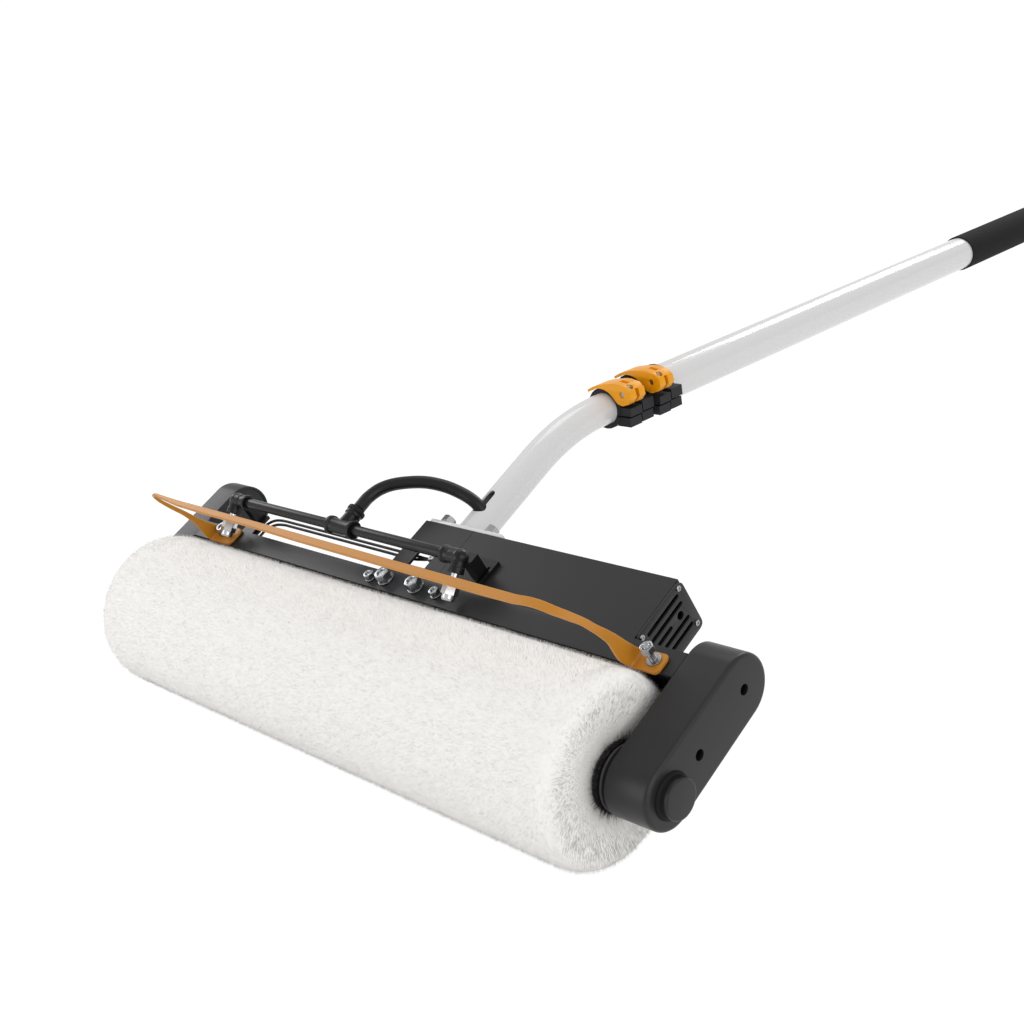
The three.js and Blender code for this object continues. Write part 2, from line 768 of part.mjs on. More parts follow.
function makeGuard() {
  const plan = extrudeZ(guardPlan(), beamTop - guardBarLow - 5, beamTop, 9);
  const rightEdge = [[4, guardBarLow], [26.5, 42.5], [46, 36.5], [60.5, 34], [77.5, 31.3]];
  const leftEdge = [[4, guardBarHigh + 1], [18, 42.3], [30, 37.9], [46.8, 31.4], [61.5, 27.2]];
  const middle = -guardHalf + guardBend;
  const right = extrudeX(guardSide(rightEdge), middle, guardHalf + guardTabRight);
  const left = extrudeX(guardSide(leftEdge), -guardHalf - 1, middle);
  const low = beamTop - guardBarLow;
  const high = beamTop - guardBarHigh;
  const corner = high - 1 - (guardBend / guardTaper) * (high - 1 - low);
  const full = middle + guardTaper; // where the bar reaches its full depth
  const wedge = polygon([[middle - 1, low - 1], [full, low - 1], [full, low], [middle - 1, corner]]);
  const narrowed = extrudeY(wedge, -guardReach - 1, -guardReach + guardThickness + 1);
  piece(head, "guard_bar", cut(common(plan, join(left, right)), narrowed), "orange");
}

// ---- Spray line ----

function makeSprayLine() {
  const y = -sprayFront;
  const z = sprayHeight;
  const r = pipeRadius;
  const half = teeLength / 2;
  const elbowFloor = elbowRadius + 2; // from an elbow's corner to the floor of its socket
  const elbowMouth = elbowFloor + socketDepth;
  const faces = [sprayLeft + elbowMouth, teeX - half, teeX + half, sprayRight - elbowMouth];
  const reach = socketDepth - seatGap;
  const bore = rod(pipeBore, [sprayLeft, y, z], [sprayRight, y, z], 12);
  const runs = [["spray_pipe_left", faces[0], faces[1]], ["spray_pipe_right", faces[2], faces[3]]];
  for (const [name, from, to] of runs) {
    const pipe = rod(r, [from - reach, y, z], [to + reach, y, z], 16);
    piece(head, name, cut(pipe, bore), "blackPlastic");
  }

  const socket = (x0, x1) => rod(r + seatGap, [x0, y, z], [x1, y, z], 16);
  const body = rod(fittingRadius, [teeX - half, y, z], [teeX + half, y, z], 16);
  const collars = [-1, 1].map((side) =>
    rod(fittingRadius + 1.5, [teeX + side * half, y, z], [teeX + side * (half - 4), y, z], 16),
  );
  const branch = rod(fittingRadius - 0.5, [teeX, y, z], [teeX, y, branchTop], 16);
  const tee = cut(
    join(body, ...collars, branch),
    socket(teeX - half - 1, teeX - half + socketDepth),
    socket(teeX + half - socketDepth, teeX + half + 1),
    bore,
  );
  piece(head, "spray_tee", tee, "blackPlastic");

  const nut = turnedZ([[0, 0.3], [9, 0.3], [9, 3], [8, 4.5], [0, 4.5]], 12);
  const nutPlace = [teeX, y, branchTop];
  piece(head, "hose_nut", nut.translate(...nutPlace), "blackPlastic");

  const down = new THREE.Vector3(0, Math.sin(nozzleTilt), -Math.cos(nozzleTilt));
  for (const [side, x, inward] of [["left", sprayLeft, 1], ["right", sprayRight, -1]]) {
    const corner = new THREE.Vector3(x, y, z);
    const at = (distance) => corner.clone().addScaledVector(down, distance).toArray();
    const mouth = x + inward * elbowMouth;
    const ball = new THREE.SphereGeometry(elbowRadius, 12, 8).translate(x, y, z);
    const sleeve = rod(fittingRadius, [x, y, z], [mouth, y, z], 16);
    const leg = rod(fittingRadius - 0.5, at(0), at(14), 16);
    const bored = socket(x + inward * elbowFloor, mouth + inward);
    const elbow = cut(join(ball, sleeve, leg), bored);
    piece(head, "spray_elbow_" + side, elbow, "blackPlastic");

    const stem = rod(3.2, at(14 + seatGap), at(26), 10);
    const washer = rod(nozzleRadius + 1.5, at(21), at(22.5), 16);
    const hex = rod(nozzleRadius, at(22.4), at(33), 6);
    const tip = rod(nozzleRadius - 1.5, at(32.9), at(38), 14);
    const orifice = rod(1.5, at(30), at(39), 8);
    piece(head, "nozzle_" + side, cut(join(stem, washer, hex, tip), orifice), "zinc");
  }
}

function makeSprayBrackets() {
  const y = -sprayFront + elbowRadius + seatGap;
  const low = sprayHeight + 1; // above the elbows' slanting legs
  const high = low + bracketHeight;
  const arm = (x, back) => block(x - 5, x + 5, y, back, low, high);
  const face = -boxHalfDepth - seatGap;
  const x = sprayRight;
  const plate = block(x - 16, x + 11, face - 3, face, boxLow + 2, high + 10);
  const slot = block(x + 5, x + 8, face - 4, face + 1, boxLow + 8, boxLow + 28);
  piece(head, "spray_bracket_right", cut(join(arm(x, face), plate), slot), "blackPlastic");
  const left = sprayLeft;
  const riser = block(left - 9, left + 9, -22, -18, boxLow, high);
  const foot = block(left - 9, left + 9, -22, 6, boxLow, boxLow + 3);
  piece(head, "spray_bracket_left", join(arm(left, -18), riser, foot), "blackPlastic");
}

// ---- Lead and gland ----

function makeLead() {
  const y = -leadFront;
  const z = boxLow + leadAbove;
  const left = -brushLength / 2 + leadInset;
  const right = windowRight + 0.5 - seatGap;
  const glandLeft = right - glandLength;
  const gland = join(
    rod(glandRadius, [glandLeft + 4, y, z], [right, y, z], 6),
    rod(glandRadius - 1.2, [glandLeft, y, z], [glandLeft + 5, y, z], 16),
  );
  piece(head, "lead_gland", gland, "zinc");
  const path = new THREE.CurvePath();
  const corner = new THREE.Vector3(left, y, z);
  const before = corner.clone().setX(left + leadBend);
  const after = corner.clone().setZ(z - leadBend);
  path.add(new THREE.LineCurve3(new THREE.Vector3(glandLeft - seatGap, y, z), before));
  path.add(new THREE.QuadraticBezierCurve3(before, corner, after));
  path.add(new THREE.LineCurve3(after, new THREE.Vector3(left, y, boxLow)));
  piece(head, "motor_lead", alongCurve(path, leadRadius, 24, 8), "rubber");
}

// ---- Pole, from the neck's corner along z ----

const pole = group(head);
pole.position.set(poleX, 0, neckCorner);
pole.rotation.x = -poleTilt;

function makeTubes() {
  const tube = (radius, from, to) => turnedZ(ring(radius - tubeWall, radius, from, to), 24);
  const middleStart = clampStart + clampLip + seatGap;
  piece(pole, "middle_tube", tube(bodyRadius.middle, middleStart, middleEnd), "whitePole");
  const outerStart = middleStart + clampPitch;
  piece(pole, "outer_tube", tube(bodyRadius.outer, outerStart, outerEnd), "whitePole");
  const inner = bodyRadius.outer + seatGap;
  const sleeve = ring(inner, inner + gripThickness, gripStart, outerEnd);
  piece(pole, "grip", turnedZ(sleeve), "grip");

  const start = outerEnd + seatGap;
  const bodyEnd = start + endCapLength;
  const flange = bodyRadius.outer + gripThickness + 1.5;
  const plug = bodyRadius.outer - tubeWall - seatGap;
  const cap = turnedZ([
    [inletBore, start - endCapPlug],
    [plug, start - endCapPlug],
    [plug, start],
    [flange, start],
    [flange, bodyEnd - 2],
    [flange - 2, bodyEnd],
    [inletRadius, bodyEnd],
    [inletRadius, bodyEnd + inletLength],
    [inletBore, bodyEnd + inletLength],
    [inletBore, start - endCapPlug],
  ]);
  piece(pole, "end_cap", cap, "blackPlastic");
}

// ---- Clamps: a split ring with lugs, closed by a cam lever on a pin ----

function polar(radius, angle) {
  return new THREE.Vector2(radius * Math.cos(angle), radius * Math.sin(angle));
}

function leverOutline(ringRadius, pin) {
  const degrees = THREE.MathUtils.degToRad;
  const shape = new THREE.Shape();
  shape.absarc(0, 0, ringRadius + sweepGap, degrees(-118), leverPinAngle, false);
  // The heel, as radius and angle about the pin.
  const heel = [[11.4, 124], [11, 92], [11.6, 48], [12.6, 12], [12, -20], [10.6, -56]];
  for (const [radius, angle] of heel) {
    const point = polar(radius, degrees(angle)).add(pin);
    shape.lineTo(point.x, point.y);
  }
  // The back of the lever, as heights above the ring.
  const back = [
    [16.5, -48],
    [13, -55.5],
    [9.2, -64],
    [6.2, -75],
    [4.3, -88],
    [3.4, -101],
    [3.3, -114],
    [4.2, -131.5],
    [2, -133.5],
  ];
  for (const [height, angle] of back) {
    const point = polar(ringRadius + height, degrees(angle));
    shape.lineTo(point.x, point.y);
  }
  shape.closePath();
  return shape;
}

function makeClamp(name, start, gripped, carried) {
  const clamp = group(pole);
  clamp.position.z = start;
  const radius = carried + clampWall;
  const bore = carried + seatGap;
  const barrel = turnedZ([
    [gripped + seatGap, 0],
    [radius, 0],
    [radius, clampLength],
    [bore, clampLength],
    [bore, clampLip],
    [gripped + seatGap, clampLip],
    [gripped + seatGap, 0],
  ]);
  const out = radius + leverPinOut;
  const pin = polar(out, leverPinAngle);
  const lugs = [];
  for (const [from, to, reach] of [[seatGap, 17, 13], [20.5, clampLength - 1.5, 11]]) {
    const top = from < 10 ? -2.6 : -5;
    lugs.push(block(bore + 1, radius + reach, top, 5.5, from, to));
    lugs.push(block(bore - 3, radius + reach - 2, 7.5, 16.5, from, to));
  }
  const leverLow = -leverOverhang;
  const leverHigh = leverLow + leverWidth;
  const earLow = (leverLow + leverHigh - earWidth) / 2;
  const earHigh = earLow + earWidth;
  const ear = new THREE.Shape();
  ear.absarc(pin.x, pin.y, 4.5, leverPinAngle - Math.PI / 2, leverPinAngle + Math.PI / 2, false);
  const root = polar(bore + 1, leverPinAngle);
  const sideways = polar(4.5, leverPinAngle + Math.PI / 2);
  ear.lineTo(root.x + sideways.x, root.y + sideways.y);
  ear.lineTo(root.x - sideways.x, root.y - sideways.y);
  ear.closePath();
  const pinHole = extrudeZ(circle(leverPinRadius + seatGap, pin.x, pin.y), leverLow - 1, leverHigh + 1, 8);
  const split = block(gripped, radius + 20, 5.5, 7.5, -1, clampLength + 1);
  const inside = turnedZ([[0, -1], [bore, -1], [bore, clampLength + 1], [0, clampLength + 1]]);
  const lip = turnedZ(ring(gripped + seatGap, bore + 1, 0, clampLip));
  const bodyAndLugs = cut(join(barrel, ...lugs, extrudeZ(ear, earLow, earHigh, 8)), inside);
  piece(clamp, "clamp_collar_" + name, cut(join(bodyAndLugs, lip), pinHole, split), "clampPlastic");

  const body = extrudeZ(leverOutline(radius, pin), leverLow, leverHigh, 12);
  const fork = block(pin.x - 16, pin.x + 20, pin.y - 5.2, pin.y + 20, earLow - 0.5, earHigh + 0.5);
  const dimple = extrudeZ(circle(leverPinRadius + 1, pin.x, pin.y), leverLow - 1, leverLow + 1, 8);
  const recessAt = (earLow + earHigh) / 2;
  const recess = block(pin.x - 9, pin.x + 1, pin.y - 20, pin.y - 7.5, recessAt - 2.6, recessAt + 2.6);
  piece(clamp, "clamp_lever_" + name, cut(body, fork, pinHole, dimple, recess), "orange");
  const pinEnds = [leverLow + 1.5, leverHigh - 1.5];
  const pinRod = rod(leverPinRadius, [pin.x, pin.y, pinEnds[0]], [pin.x, pin.y, pinEnds[1]], 16);
  piece(clamp, "clamp_pin_" + name, pinRod, "steel");
}

makeBrush();
makeHubs();
makeHousings();
makeBeltDrive();
makeBeam();
makeMotor();
makeMotorBox();
makeSaddle();
makeNeck();
makeFasteners();
makeGuard();
makeSprayLine();
makeSprayBrackets();
makeLead();
makeTubes();
makeClamp("middle", clampStart, bodyRadius.neck, bodyRadius.middle);
makeClamp("outer", clampStart + clampPitch, bodyRadius.middle, bodyRadius.outer);

// ---- Resting place ----

// The head leans back until the roller and the end cap stand on one plane.
function restingLean() {
  const capRadiusOuter = bodyRadius.outer + gripThickness + 1.5;
  const along = outerEnd + seatGap + endCapLength - 2;
  const y = along * Math.sin(poleTilt);
  const z = neckCorner + along * Math.cos(poleTilt);
  let low = 0;
  let high = Math.PI / 4;
  for (let i = 0; i < 40; i++) {
    const lean = (low + high) / 2;
    const height = z * Math.sin(lean) - y * Math.cos(lean) - capRadiusOuter * Math.cos(poleTilt - lean);
    if (height > -brushRadius) high = lean;
    else low = lean;
  }
  return (low + high) / 2;
}

head.rotation.x = restingLean() - Math.PI / 2;
machine.updateMatrixWorld(true);
const bounds = new THREE.Box3().setFromObject(machine, true);
head.position.set(-(bounds.min.x + bounds.max.x) / 2, -(bounds.min.y + bounds.max.y) / 2, -bounds.min.z);

export default machine;
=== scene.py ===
"""A motor-driven, water-fed roller brush on a telescopic pole.

Pieces are built in millimetres along the head's own axes: x along the roller towards the belt
drive, y to the back, z from the roller to the pole. The pole's own axes start at the corner of its
neck, with z along the pole. Both are found from the frame.
"""
import json
import math

import bmesh
import bpy
import numpy as np
from mathutils import Matrix, Vector


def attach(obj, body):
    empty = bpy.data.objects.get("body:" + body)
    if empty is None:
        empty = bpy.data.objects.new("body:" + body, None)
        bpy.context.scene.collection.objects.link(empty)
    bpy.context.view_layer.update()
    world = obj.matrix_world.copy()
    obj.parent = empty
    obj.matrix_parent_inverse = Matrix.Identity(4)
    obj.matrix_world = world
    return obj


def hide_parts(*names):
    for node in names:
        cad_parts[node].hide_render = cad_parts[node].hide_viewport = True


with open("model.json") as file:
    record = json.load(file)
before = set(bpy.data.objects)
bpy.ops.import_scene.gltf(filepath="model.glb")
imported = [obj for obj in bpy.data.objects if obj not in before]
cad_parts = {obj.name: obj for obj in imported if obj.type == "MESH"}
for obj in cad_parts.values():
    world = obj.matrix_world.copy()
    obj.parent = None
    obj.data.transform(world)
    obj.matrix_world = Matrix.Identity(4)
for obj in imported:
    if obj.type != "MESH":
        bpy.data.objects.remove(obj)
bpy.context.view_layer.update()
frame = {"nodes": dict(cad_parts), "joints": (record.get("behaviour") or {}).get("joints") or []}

MM = 0.001
NODES = frame["nodes"]
JOINTS = {joint["name"]: joint for joint in frame["joints"]}

# ---- The head's axes and the pole's ----

# Where the pole stands along the roller, and how far it leans back from the head's own z.
POLE_X = 4.5
POLE_TILT = math.radians(25)


def head_matrix():
    """From millimetres along the head's axes to metres in the frame."""
    along = JOINTS["middle_slide"]["axis"]
    lean = math.atan2(along[2], along[1]) - (math.pi / 2 - POLE_TILT)
    centre = Matrix.Translation(Vector(JOINTS["brush_spin"]["pos_m"]))
    return centre @ Matrix.Rotation(lean, 4, "X") @ Matrix.Scale(MM, 4)


HEAD = head_matrix()


def span(node, matrix=HEAD):
    """Lowest and highest corner of a CAD node along the axes of a matrix, in millimetres."""
    to_local = matrix.inverted()
    points = np.array([to_local @ vertex.co for vertex in NODES[node].data.vertices])
    return Vector(points.min(axis=0)), Vector(points.max(axis=0))


def neck_corner():
    """Height above the roller's axis at which the neck's two straight runs would meet."""
    middle = span("middle_tube")
    low = (middle[0] + middle[1]) / 2
    return low.z - low.y / math.tan(POLE_TILT)


NECK_CORNER = neck_corner()
POLE = (
    HEAD
    @ Matrix.Translation((POLE_X, 0, NECK_CORNER))
    @ Matrix.Rotation(-POLE_TILT, 4, "X")
)

# ---- Materials ----

# A grain's size and depth are in millimetres. The grain that a mould, plating or a tool leaves is
# too fine to show, so it is drawn 0.4 to 1 mm wide.
GRAIN_STRENGTH = 0.5
# The share by which roughness rises and falls with the grain.
SHINE_SPREAD = 0.1
# Slow changes of colour to a metre, so that a patch of one shade is about 33 mm wide.
PATCHES = 30.0


def linear(code):
    """An sRGB hex colour as linear red, green, blue and alpha."""
    values = [int(code[i : i + 2], 16) / 255 for i in (0, 2, 4)]
    return [v / 12.92 if v <= 0.04045 else ((v + 0.055) / 1.055) ** 2.4 for v in values] + [1.0]


def add(tree, kind, inputs=None, **settings):
    """Adds a node with its settings and links. An input is a value or (node, its output), and
    sockets go by name or, where several share a name, by number."""
    made = tree.nodes.new(kind)
    for name, value in settings.items():
        setattr(made, name, value)
    for name, value in (inputs or {}).items():
        if isinstance(value, tuple) and isinstance(value[0], bpy.types.Node):
            tree.links.new(value[0].outputs[value[1]], made.inputs[name])
        else:
            made.inputs[name].default_value = value
    return made


def surface(
    name, colour, roughness, metallic=0.0, grain=1.0, depth=0.02, variation=0.06, stretch=(1, 1, 1), **extra
):
    """A finish: its colour varies slowly, and its grain is both a bump and a change of shine."""
    material = bpy.data.materials.new(name)
    material.use_nodes = True
    tree = material.node_tree
    tree.nodes.clear()
    place = add(tree, "ShaderNodeTexCoord")
    scale = [share / (MM * grain) for share in stretch]
    in_grains = add(tree, "ShaderNodeMapping", {"Vector": (place, "Object"), "Scale": scale})
    fine = add(
        tree, "ShaderNodeTexNoise", {"Vector": (in_grains, "Vector"), "Scale": 1.0, "Detail": 3.0}
    )
    broad = add(
        tree, "ShaderNodeTexNoise", {"Vector": (place, "Object"), "Scale": PATCHES, "Detail": 4.0}
    )
    base = linear(colour)[:3]
    darker = [value * (1 - variation) for value in base] + [1]
    lighter = [min(1, value * (1 + variation)) for value in base] + [1]
    # The Mix node has sockets of one name for each type of data. Those for colours are 6, 7 and 2.
    tint = add(tree, "ShaderNodeMix", {0: (broad, "Fac"), 6: darker, 7: lighter}, data_type="RGBA")
    shine = add(
        tree,
        "ShaderNodeMapRange",
        {
            "Value": (fine, "Fac"),
            "To Min": roughness * (1 - SHINE_SPREAD),
            "To Max": min(1.0, roughness * (1 + SHINE_SPREAD)),
        },
    )
    bump = add(
        tree,
        "ShaderNodeBump",
        {"Height": (fine, "Fac"), "Strength": GRAIN_STRENGTH, "Distance": depth * MM},
    )
    shader = add(
        tree,
        "ShaderNodeBsdfPrincipled",
        {
            "Base Color": (tint, 2),
            "Metallic": metallic,
            "Roughness": (shine, "Result"),
            "Normal": (bump, "Normal"),
            **extra,
        },
    )
    add(tree, "ShaderNodeOutputMaterial", {"Surface": (shader, "BSDF")})
    return material


DULL = {"Specular IOR Level": 0.2}
POWDER = {"Specular IOR Level": 0.34}
SATIN = {"Specular IOR Level": 0.3}
# Powder coat on folded steel: a satin skin with the fine ripple of a baked powder.
powder_charcoal = surface(
    "powder_coat_charcoal", "1F1E20", 0.38, grain=0.9, depth=0.03, variation=0.05, **POWDER
)
# The same coat on the cast housings: a little duller, with a finer and shallower ripple.
cast_charcoal = surface(
    "powder_coat_on_castings", "1F1E20", 0.4, grain=0.8, depth=0.02, variation=0.05, **POWDER
)
# Moulded nylon: black with a soft gloss, over the grain of a spark-eroded mould.
nylon_black = surface("moulded_nylon_black", "131213", 0.3, grain=0.5, **SATIN)
# The hubs' nylon is greyer and duller than that of the fittings.
nylon_hub = surface("moulded_nylon_hub", "3A393A", 0.45, grain=0.5, **SATIN)
# Glass-filled nylon of the clamps: dark grey, matt, and mottled by its fibres.
nylon_clamp = surface(
    "glass_filled_nylon", "28272A", 0.55, grain=0.4, depth=0.04, variation=0.1, **DULL
)
# Powder coat in amber on the flat bar of the guard: satin, with the ripple of a baked powder.
powder_amber = surface("powder_coat_amber", "B67718", 0.42, grain=0.9, depth=0.03, variation=0.05)
# Moulded polypropylene of the levers, glossy and saturated.
polypropylene_amber = surface("polypropylene_amber", "E89B0C", 0.36, grain=0.6, depth=0.015, **SATIN)
# Gloss powder coat on drawn aluminium tube: white, with clear reflections.
enamel_white = surface(
    "gloss_enamel_white", "D4D3D3", 0.2, grain=1.5, depth=0.008, variation=0.015, **{"Coat Weight": 0.4}
)
# Closed-cell foam rubber of the grip: matt, with fine pores.
foam_rubber = surface("foam_rubber", "1E1E1F", 0.85, grain=0.7, depth=0.12, variation=0.15, **DULL)
# Rubber hose and leads: black with a soft sheen.
hose_rubber = surface("hose_rubber", "151415", 0.38, grain=0.5, **SATIN)
# Moulded seal rubber: dead black and matt. Its black also paints the shade that falls on the bearing boss's
# left side.
seal_rubber_and_painted_shade = surface("seal_rubber_and_painted_shade", "100F10", 0.7, grain=0.5, **DULL)
# Bright zinc plate on steel fasteners: a grey metal with blurred reflections.
zinc_plate = surface("zinc_plate", "A9ABAE", 0.27, 1.0, grain=0.7, depth=0.01, variation=0.1)
# Chrome on brass, for the nozzles: almost a mirror.
chrome_plate = surface("chrome_plate", "DADCDF", 0.14, 1.0, depth=0.004, variation=0.05)
# Turned metal: its tool marks run round the axis, and are drawn far wider apart than they are.
TOOL_MARKS = {"depth": 0.01, "stretch": (4, 1, 1)}
turned_steel = surface("turned_steel", "AEB1B5", 0.32, 1.0, grain=0.4, **TOOL_MARKS)
turned_aluminium = surface("turned_aluminium", "A8AAAD", 0.38, 1.0, grain=0.5, **TOOL_MARKS)
# Nylon filament: matt tufts about 2 mm wide, drawn out along the roller.
TUFTS = {"grain": 2.0, "depth": 0.05, "variation": 0.015, "stretch": (0.5, 1, 1), **DULL}


def bristle_material():
    """Crimped nylon filament: milk white and translucent, so light passes from tuft to tuft."""
    milk_white = "F7F5F2"
    material = surface("nylon_filament", milk_white, 0.8, **TUFTS)
    tree = material.node_tree
    shader = next(node for node in tree.nodes if node.type == "BSDF_PRINCIPLED")
    output = next(node for node in tree.nodes if node.type == "OUTPUT_MATERIAL")
    through = add(tree, "ShaderNodeBsdfTranslucent", {"Color": linear(milk_white)})
    mix = add(tree, "ShaderNodeMixShader", {0: 0.35, 1: (shader, "BSDF"), 2: (through, "BSDF")})
    tree.links.new(mix.outputs["Shader"], output.inputs["Surface"])
    return material


nylon_filament = bristle_material()
# The same filament where it is packed too close for light to pass.
packed_filament = surface("nylon_filament_packed", "F2F0ED", 0.8, **TUFTS)
# Stiff black filament of the sealing fringe round each hub.
fringe_filament = surface("black_filament", "1A191A", 0.6, **DULL)

# ---- Making pieces ----


def put(name, data):
    """An object in the scene that holds a mesh, a curve, a lamp or a camera."""
    made = bpy.data.objects.new(name, data)
    bpy.context.collection.objects.link(made)
    return made


def finish_piece(name, mesh, material, replaces=(), body="head", matrix=HEAD, sharp=32):
    """A piece from a mesh in millimetres: placed, shaded, given its finish and put on its body."""
    mesh.transform(matrix)
    for face in mesh.polygons:
        face.use_smooth = True
    mesh.set_sharp_from_angle(angle=math.radians(sharp))
    mesh.materials.clear()
    mesh.materials.append(material)
    piece = put(name, mesh)
    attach(piece, body)
    if replaces:
        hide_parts(*replaces)
    return piece


def evaluated(holder):
    """The mesh that an object's modifiers or its curve's settings give."""
    graph = bpy.context.evaluated_depsgraph_get()
    return bpy.data.meshes.new_from_object(holder.evaluated_get(graph))


def from_bmesh(made):
    """A mesh whose faces all look outwards."""
    bmesh.ops.recalc_face_normals(made, faces=made.faces)
    mesh = bpy.data.meshes.new("piece")
    made.to_mesh(mesh)
    made.free()
    return mesh


def from_loops(loops, closed=False, caps=True):
    """A skin over rings of points that have the same number of points each."""
    made = bmesh.new()
    rows = [[made.verts.new(point) for point in loop] for loop in loops]
    count = len(loops[0])
    pairs = list(zip(rows, rows[1:]))
    if closed:
        pairs.append((rows[-1], rows[0]))
    for first, second in pairs:
        for i in range(count):
            j = (i + 1) % count
            made.faces.new((first[i], first[j], second[j], second[i]))
    if caps and not closed:
        made.faces.new(list(reversed(rows[0])))
        made.faces.new(rows[-1])
    bmesh.ops.remove_doubles(made, verts=made.verts, dist=1e-4)
    return from_bmesh(made)


def arc(centre, radius, start, end, steps):
    """Points on an arc, in degrees."""
    angles = [math.radians(start + (end - start) * i / steps) for i in range(steps + 1)]
    return [(centre[0] + radius * math.cos(a), centre[1] + radius * math.sin(a)) for a in angles]


def rounded(points, steps=4):
    """A closed outline whose corners (a, b, radius) are rounded to about their radius."""
    result = []
    count = len(points)
    for i, (a, b, radius) in enumerate(points):
        here = Vector((a, b))
        before = Vector(points[i - 1][:2]) - here
        after = Vector(points[(i + 1) % count][:2]) - here
        if radius <= 0 or before.length == 0 or after.length == 0:
            result.append(here)
            continue
        half = before.angle(after) / 2
        reach = min(radius / math.tan(half), before.length * 0.499, after.length * 0.499)
        start = here + before.normalized() * reach
        stop = here + after.normalized() * reach
        for step in range(steps + 1):
            t = step / steps
            result.append((1 - t) ** 2 * start + 2 * t * (1 - t) * here + t * t * stop)
    return [(point.x, point.y) for point in result]


def off_axis(radius, along, angle, axis, at):
    """A corner of a turned piece, whose axis is X or Z and passes through a place."""
    a, b = radius * math.cos(angle), radius * math.sin(angle)
    return Vector((along, a, b) if axis == "X" else (a, b, along)) + Vector(at)


def turned(profile, sides=64, axis="X", at=(0, 0, 0), steps=4):
    """A closed profile of (radius, along, rounding) turned round an axis."""
    ring = rounded(profile, steps)
    angles = [2 * math.pi * (i + 0.5) / sides for i in range(sides)]
    return from_loops([[off_axis(*corner, angle, axis, at) for corner in ring] for angle in angles], True)


def turned_solid(profile, sides=96, axis="X", at=(0, 0, 0)):
    """A solid turned piece: its profile starts and ends on the axis."""
    ring = rounded(profile)
    angles = [2 * math.pi * i / sides for i in range(sides)]
    loops = [[off_axis(*corner, angle, axis, at) for angle in angles] for corner in ring]
    return from_loops(loops, caps=False)


def plate(outlines, start, end, axis, edge):
    """A plate between start and end along an axis, from an outline and the holes in it. Its edges
    are rounded to a radius."""
    curve = bpy.data.curves.new("outline", "CURVE")
    curve.dimensions = "2D"
    curve.fill_mode = "BOTH"
    curve.extrude = (end - start) / 2 - edge
    curve.bevel_depth = edge
    curve.bevel_resolution = 2
    curve.offset = -edge
    for outline in outlines:
        spline = curve.splines.new("POLY")
        spline.points.add(len(outline) - 1)
        for point, (a, b) in zip(spline.points, outline):
            point.co = (a, b, 0, 1)
        spline.use_cyclic_u = True
    holder = put("outline", curve)
    mesh = evaluated(holder)
    bpy.data.objects.remove(holder)
    middle = (start + end) / 2
    turns = {
        "X": Matrix(((0, 0, 1, middle), (1, 0, 0, 0), (0, 1, 0, 0), (0, 0, 0, 1))),
        "Y": Matrix(((1, 0, 0, 0), (0, 0, -1, middle), (0, 1, 0, 0), (0, 0, 0, 1))),
        "Z": Matrix.Translation((0, 0, middle)),
    }
    mesh.transform(turns[axis])
    made = bmesh.new()
    made.from_mesh(mesh)
    bmesh.ops.remove_doubles(made, verts=made.verts, dist=1e-4)
    return from_bmesh(made)


def box_outline(a0, a1, b0, b1, radius):
    """A rectangle with rounded corners."""
    return rounded([(a0, b0, radius), (a1, b0, radius), (a1, b1, radius), (a0, b1, radius)])


def circle(a, b, radius):
    """A circle round a place."""
    return arc((a, b), radius, 0, 360, 32)[:-1]


def slot_outline(centre, width, low, high):
    """An upright slot with round ends."""
    half = width / 2
    return arc((centre, high - half), half, 0, 180, 8) + arc((centre, low + half), half, 180, 360, 8)


def smoothed(route, per_span):
    """A curve through the points of a route, with so many steps between one and the next."""
    ends = [2 * route[0] - route[1]] + route + [2 * route[-1] - route[-2]]
    fine = []
    for i in range(1, len(ends) - 2):
        p0, p1, p2, p3 = ends[i - 1 : i + 3]
        for step in range(per_span):
            t = step / per_span
            bow = (2 * p0 - 5 * p1 + 4 * p2 - p3) * t**2 + (3 * p1 - p0 - 3 * p2 + p3) * t**3
            fine.append(0.5 * (2 * p1 + (p2 - p0) * t + bow))
    return fine + [route[-1]]


def swept(points, radius, sides=24, smooth=True, per_span=8, hollow=None):
    """A round bar along a route. With smooth, the route is a curve through its points, and hollow
    is a tube's inner radius as a share of its outer one."""
    route = [Vector(point) for point in points]
    if smooth:
        route = smoothed(route, per_span)
    side = Vector((0, 0, 1)) if abs((route[1] - route[0]).normalized().z) < 0.9 else Vector((1, 0, 0))
    angles = [2 * math.pi * k / sides for k in range(sides)]
    loops = []
    for i, point in enumerate(route):
        ahead = route[min(i + 1, len(route) - 1)] - route[max(i - 1, 0)]
        ahead.normalize()
        side = (side - ahead * side.dot(ahead)).normalized()
        other = ahead.cross(side)
        loops.append([point + radius * (side * math.cos(a) + other * math.sin(a)) for a in angles])
    if hollow is None:
        return from_loops(loops)
    inner = [[point + (corner - point) * hollow for corner in loop] for loop, point in zip(loops, route)]
    return from_loops(loops + inner[::-1], closed=True)


def joined(*meshes):
    """Several meshes as one."""
    made = bmesh.new()
    for mesh in meshes:
        made.from_mesh(mesh)
    result = bpy.data.meshes.new("piece")
    made.to_mesh(result)
    made.free()
    return result


def bored(mesh, *cutters):
    """A mesh with other meshes cut away from it."""
    holder = put("bored", mesh)
    tools = [put("cutter", cutter) for cutter in cutters]
    for tool in tools:
        cut = holder.modifiers.new("cut", "BOOLEAN")
        cut.operation = "DIFFERENCE"
        cut.solver = "EXACT"
        cut.object = tool
    result = evaluated(holder)
    for obj in [holder, *tools]:
        bpy.data.objects.remove(obj)
    return result


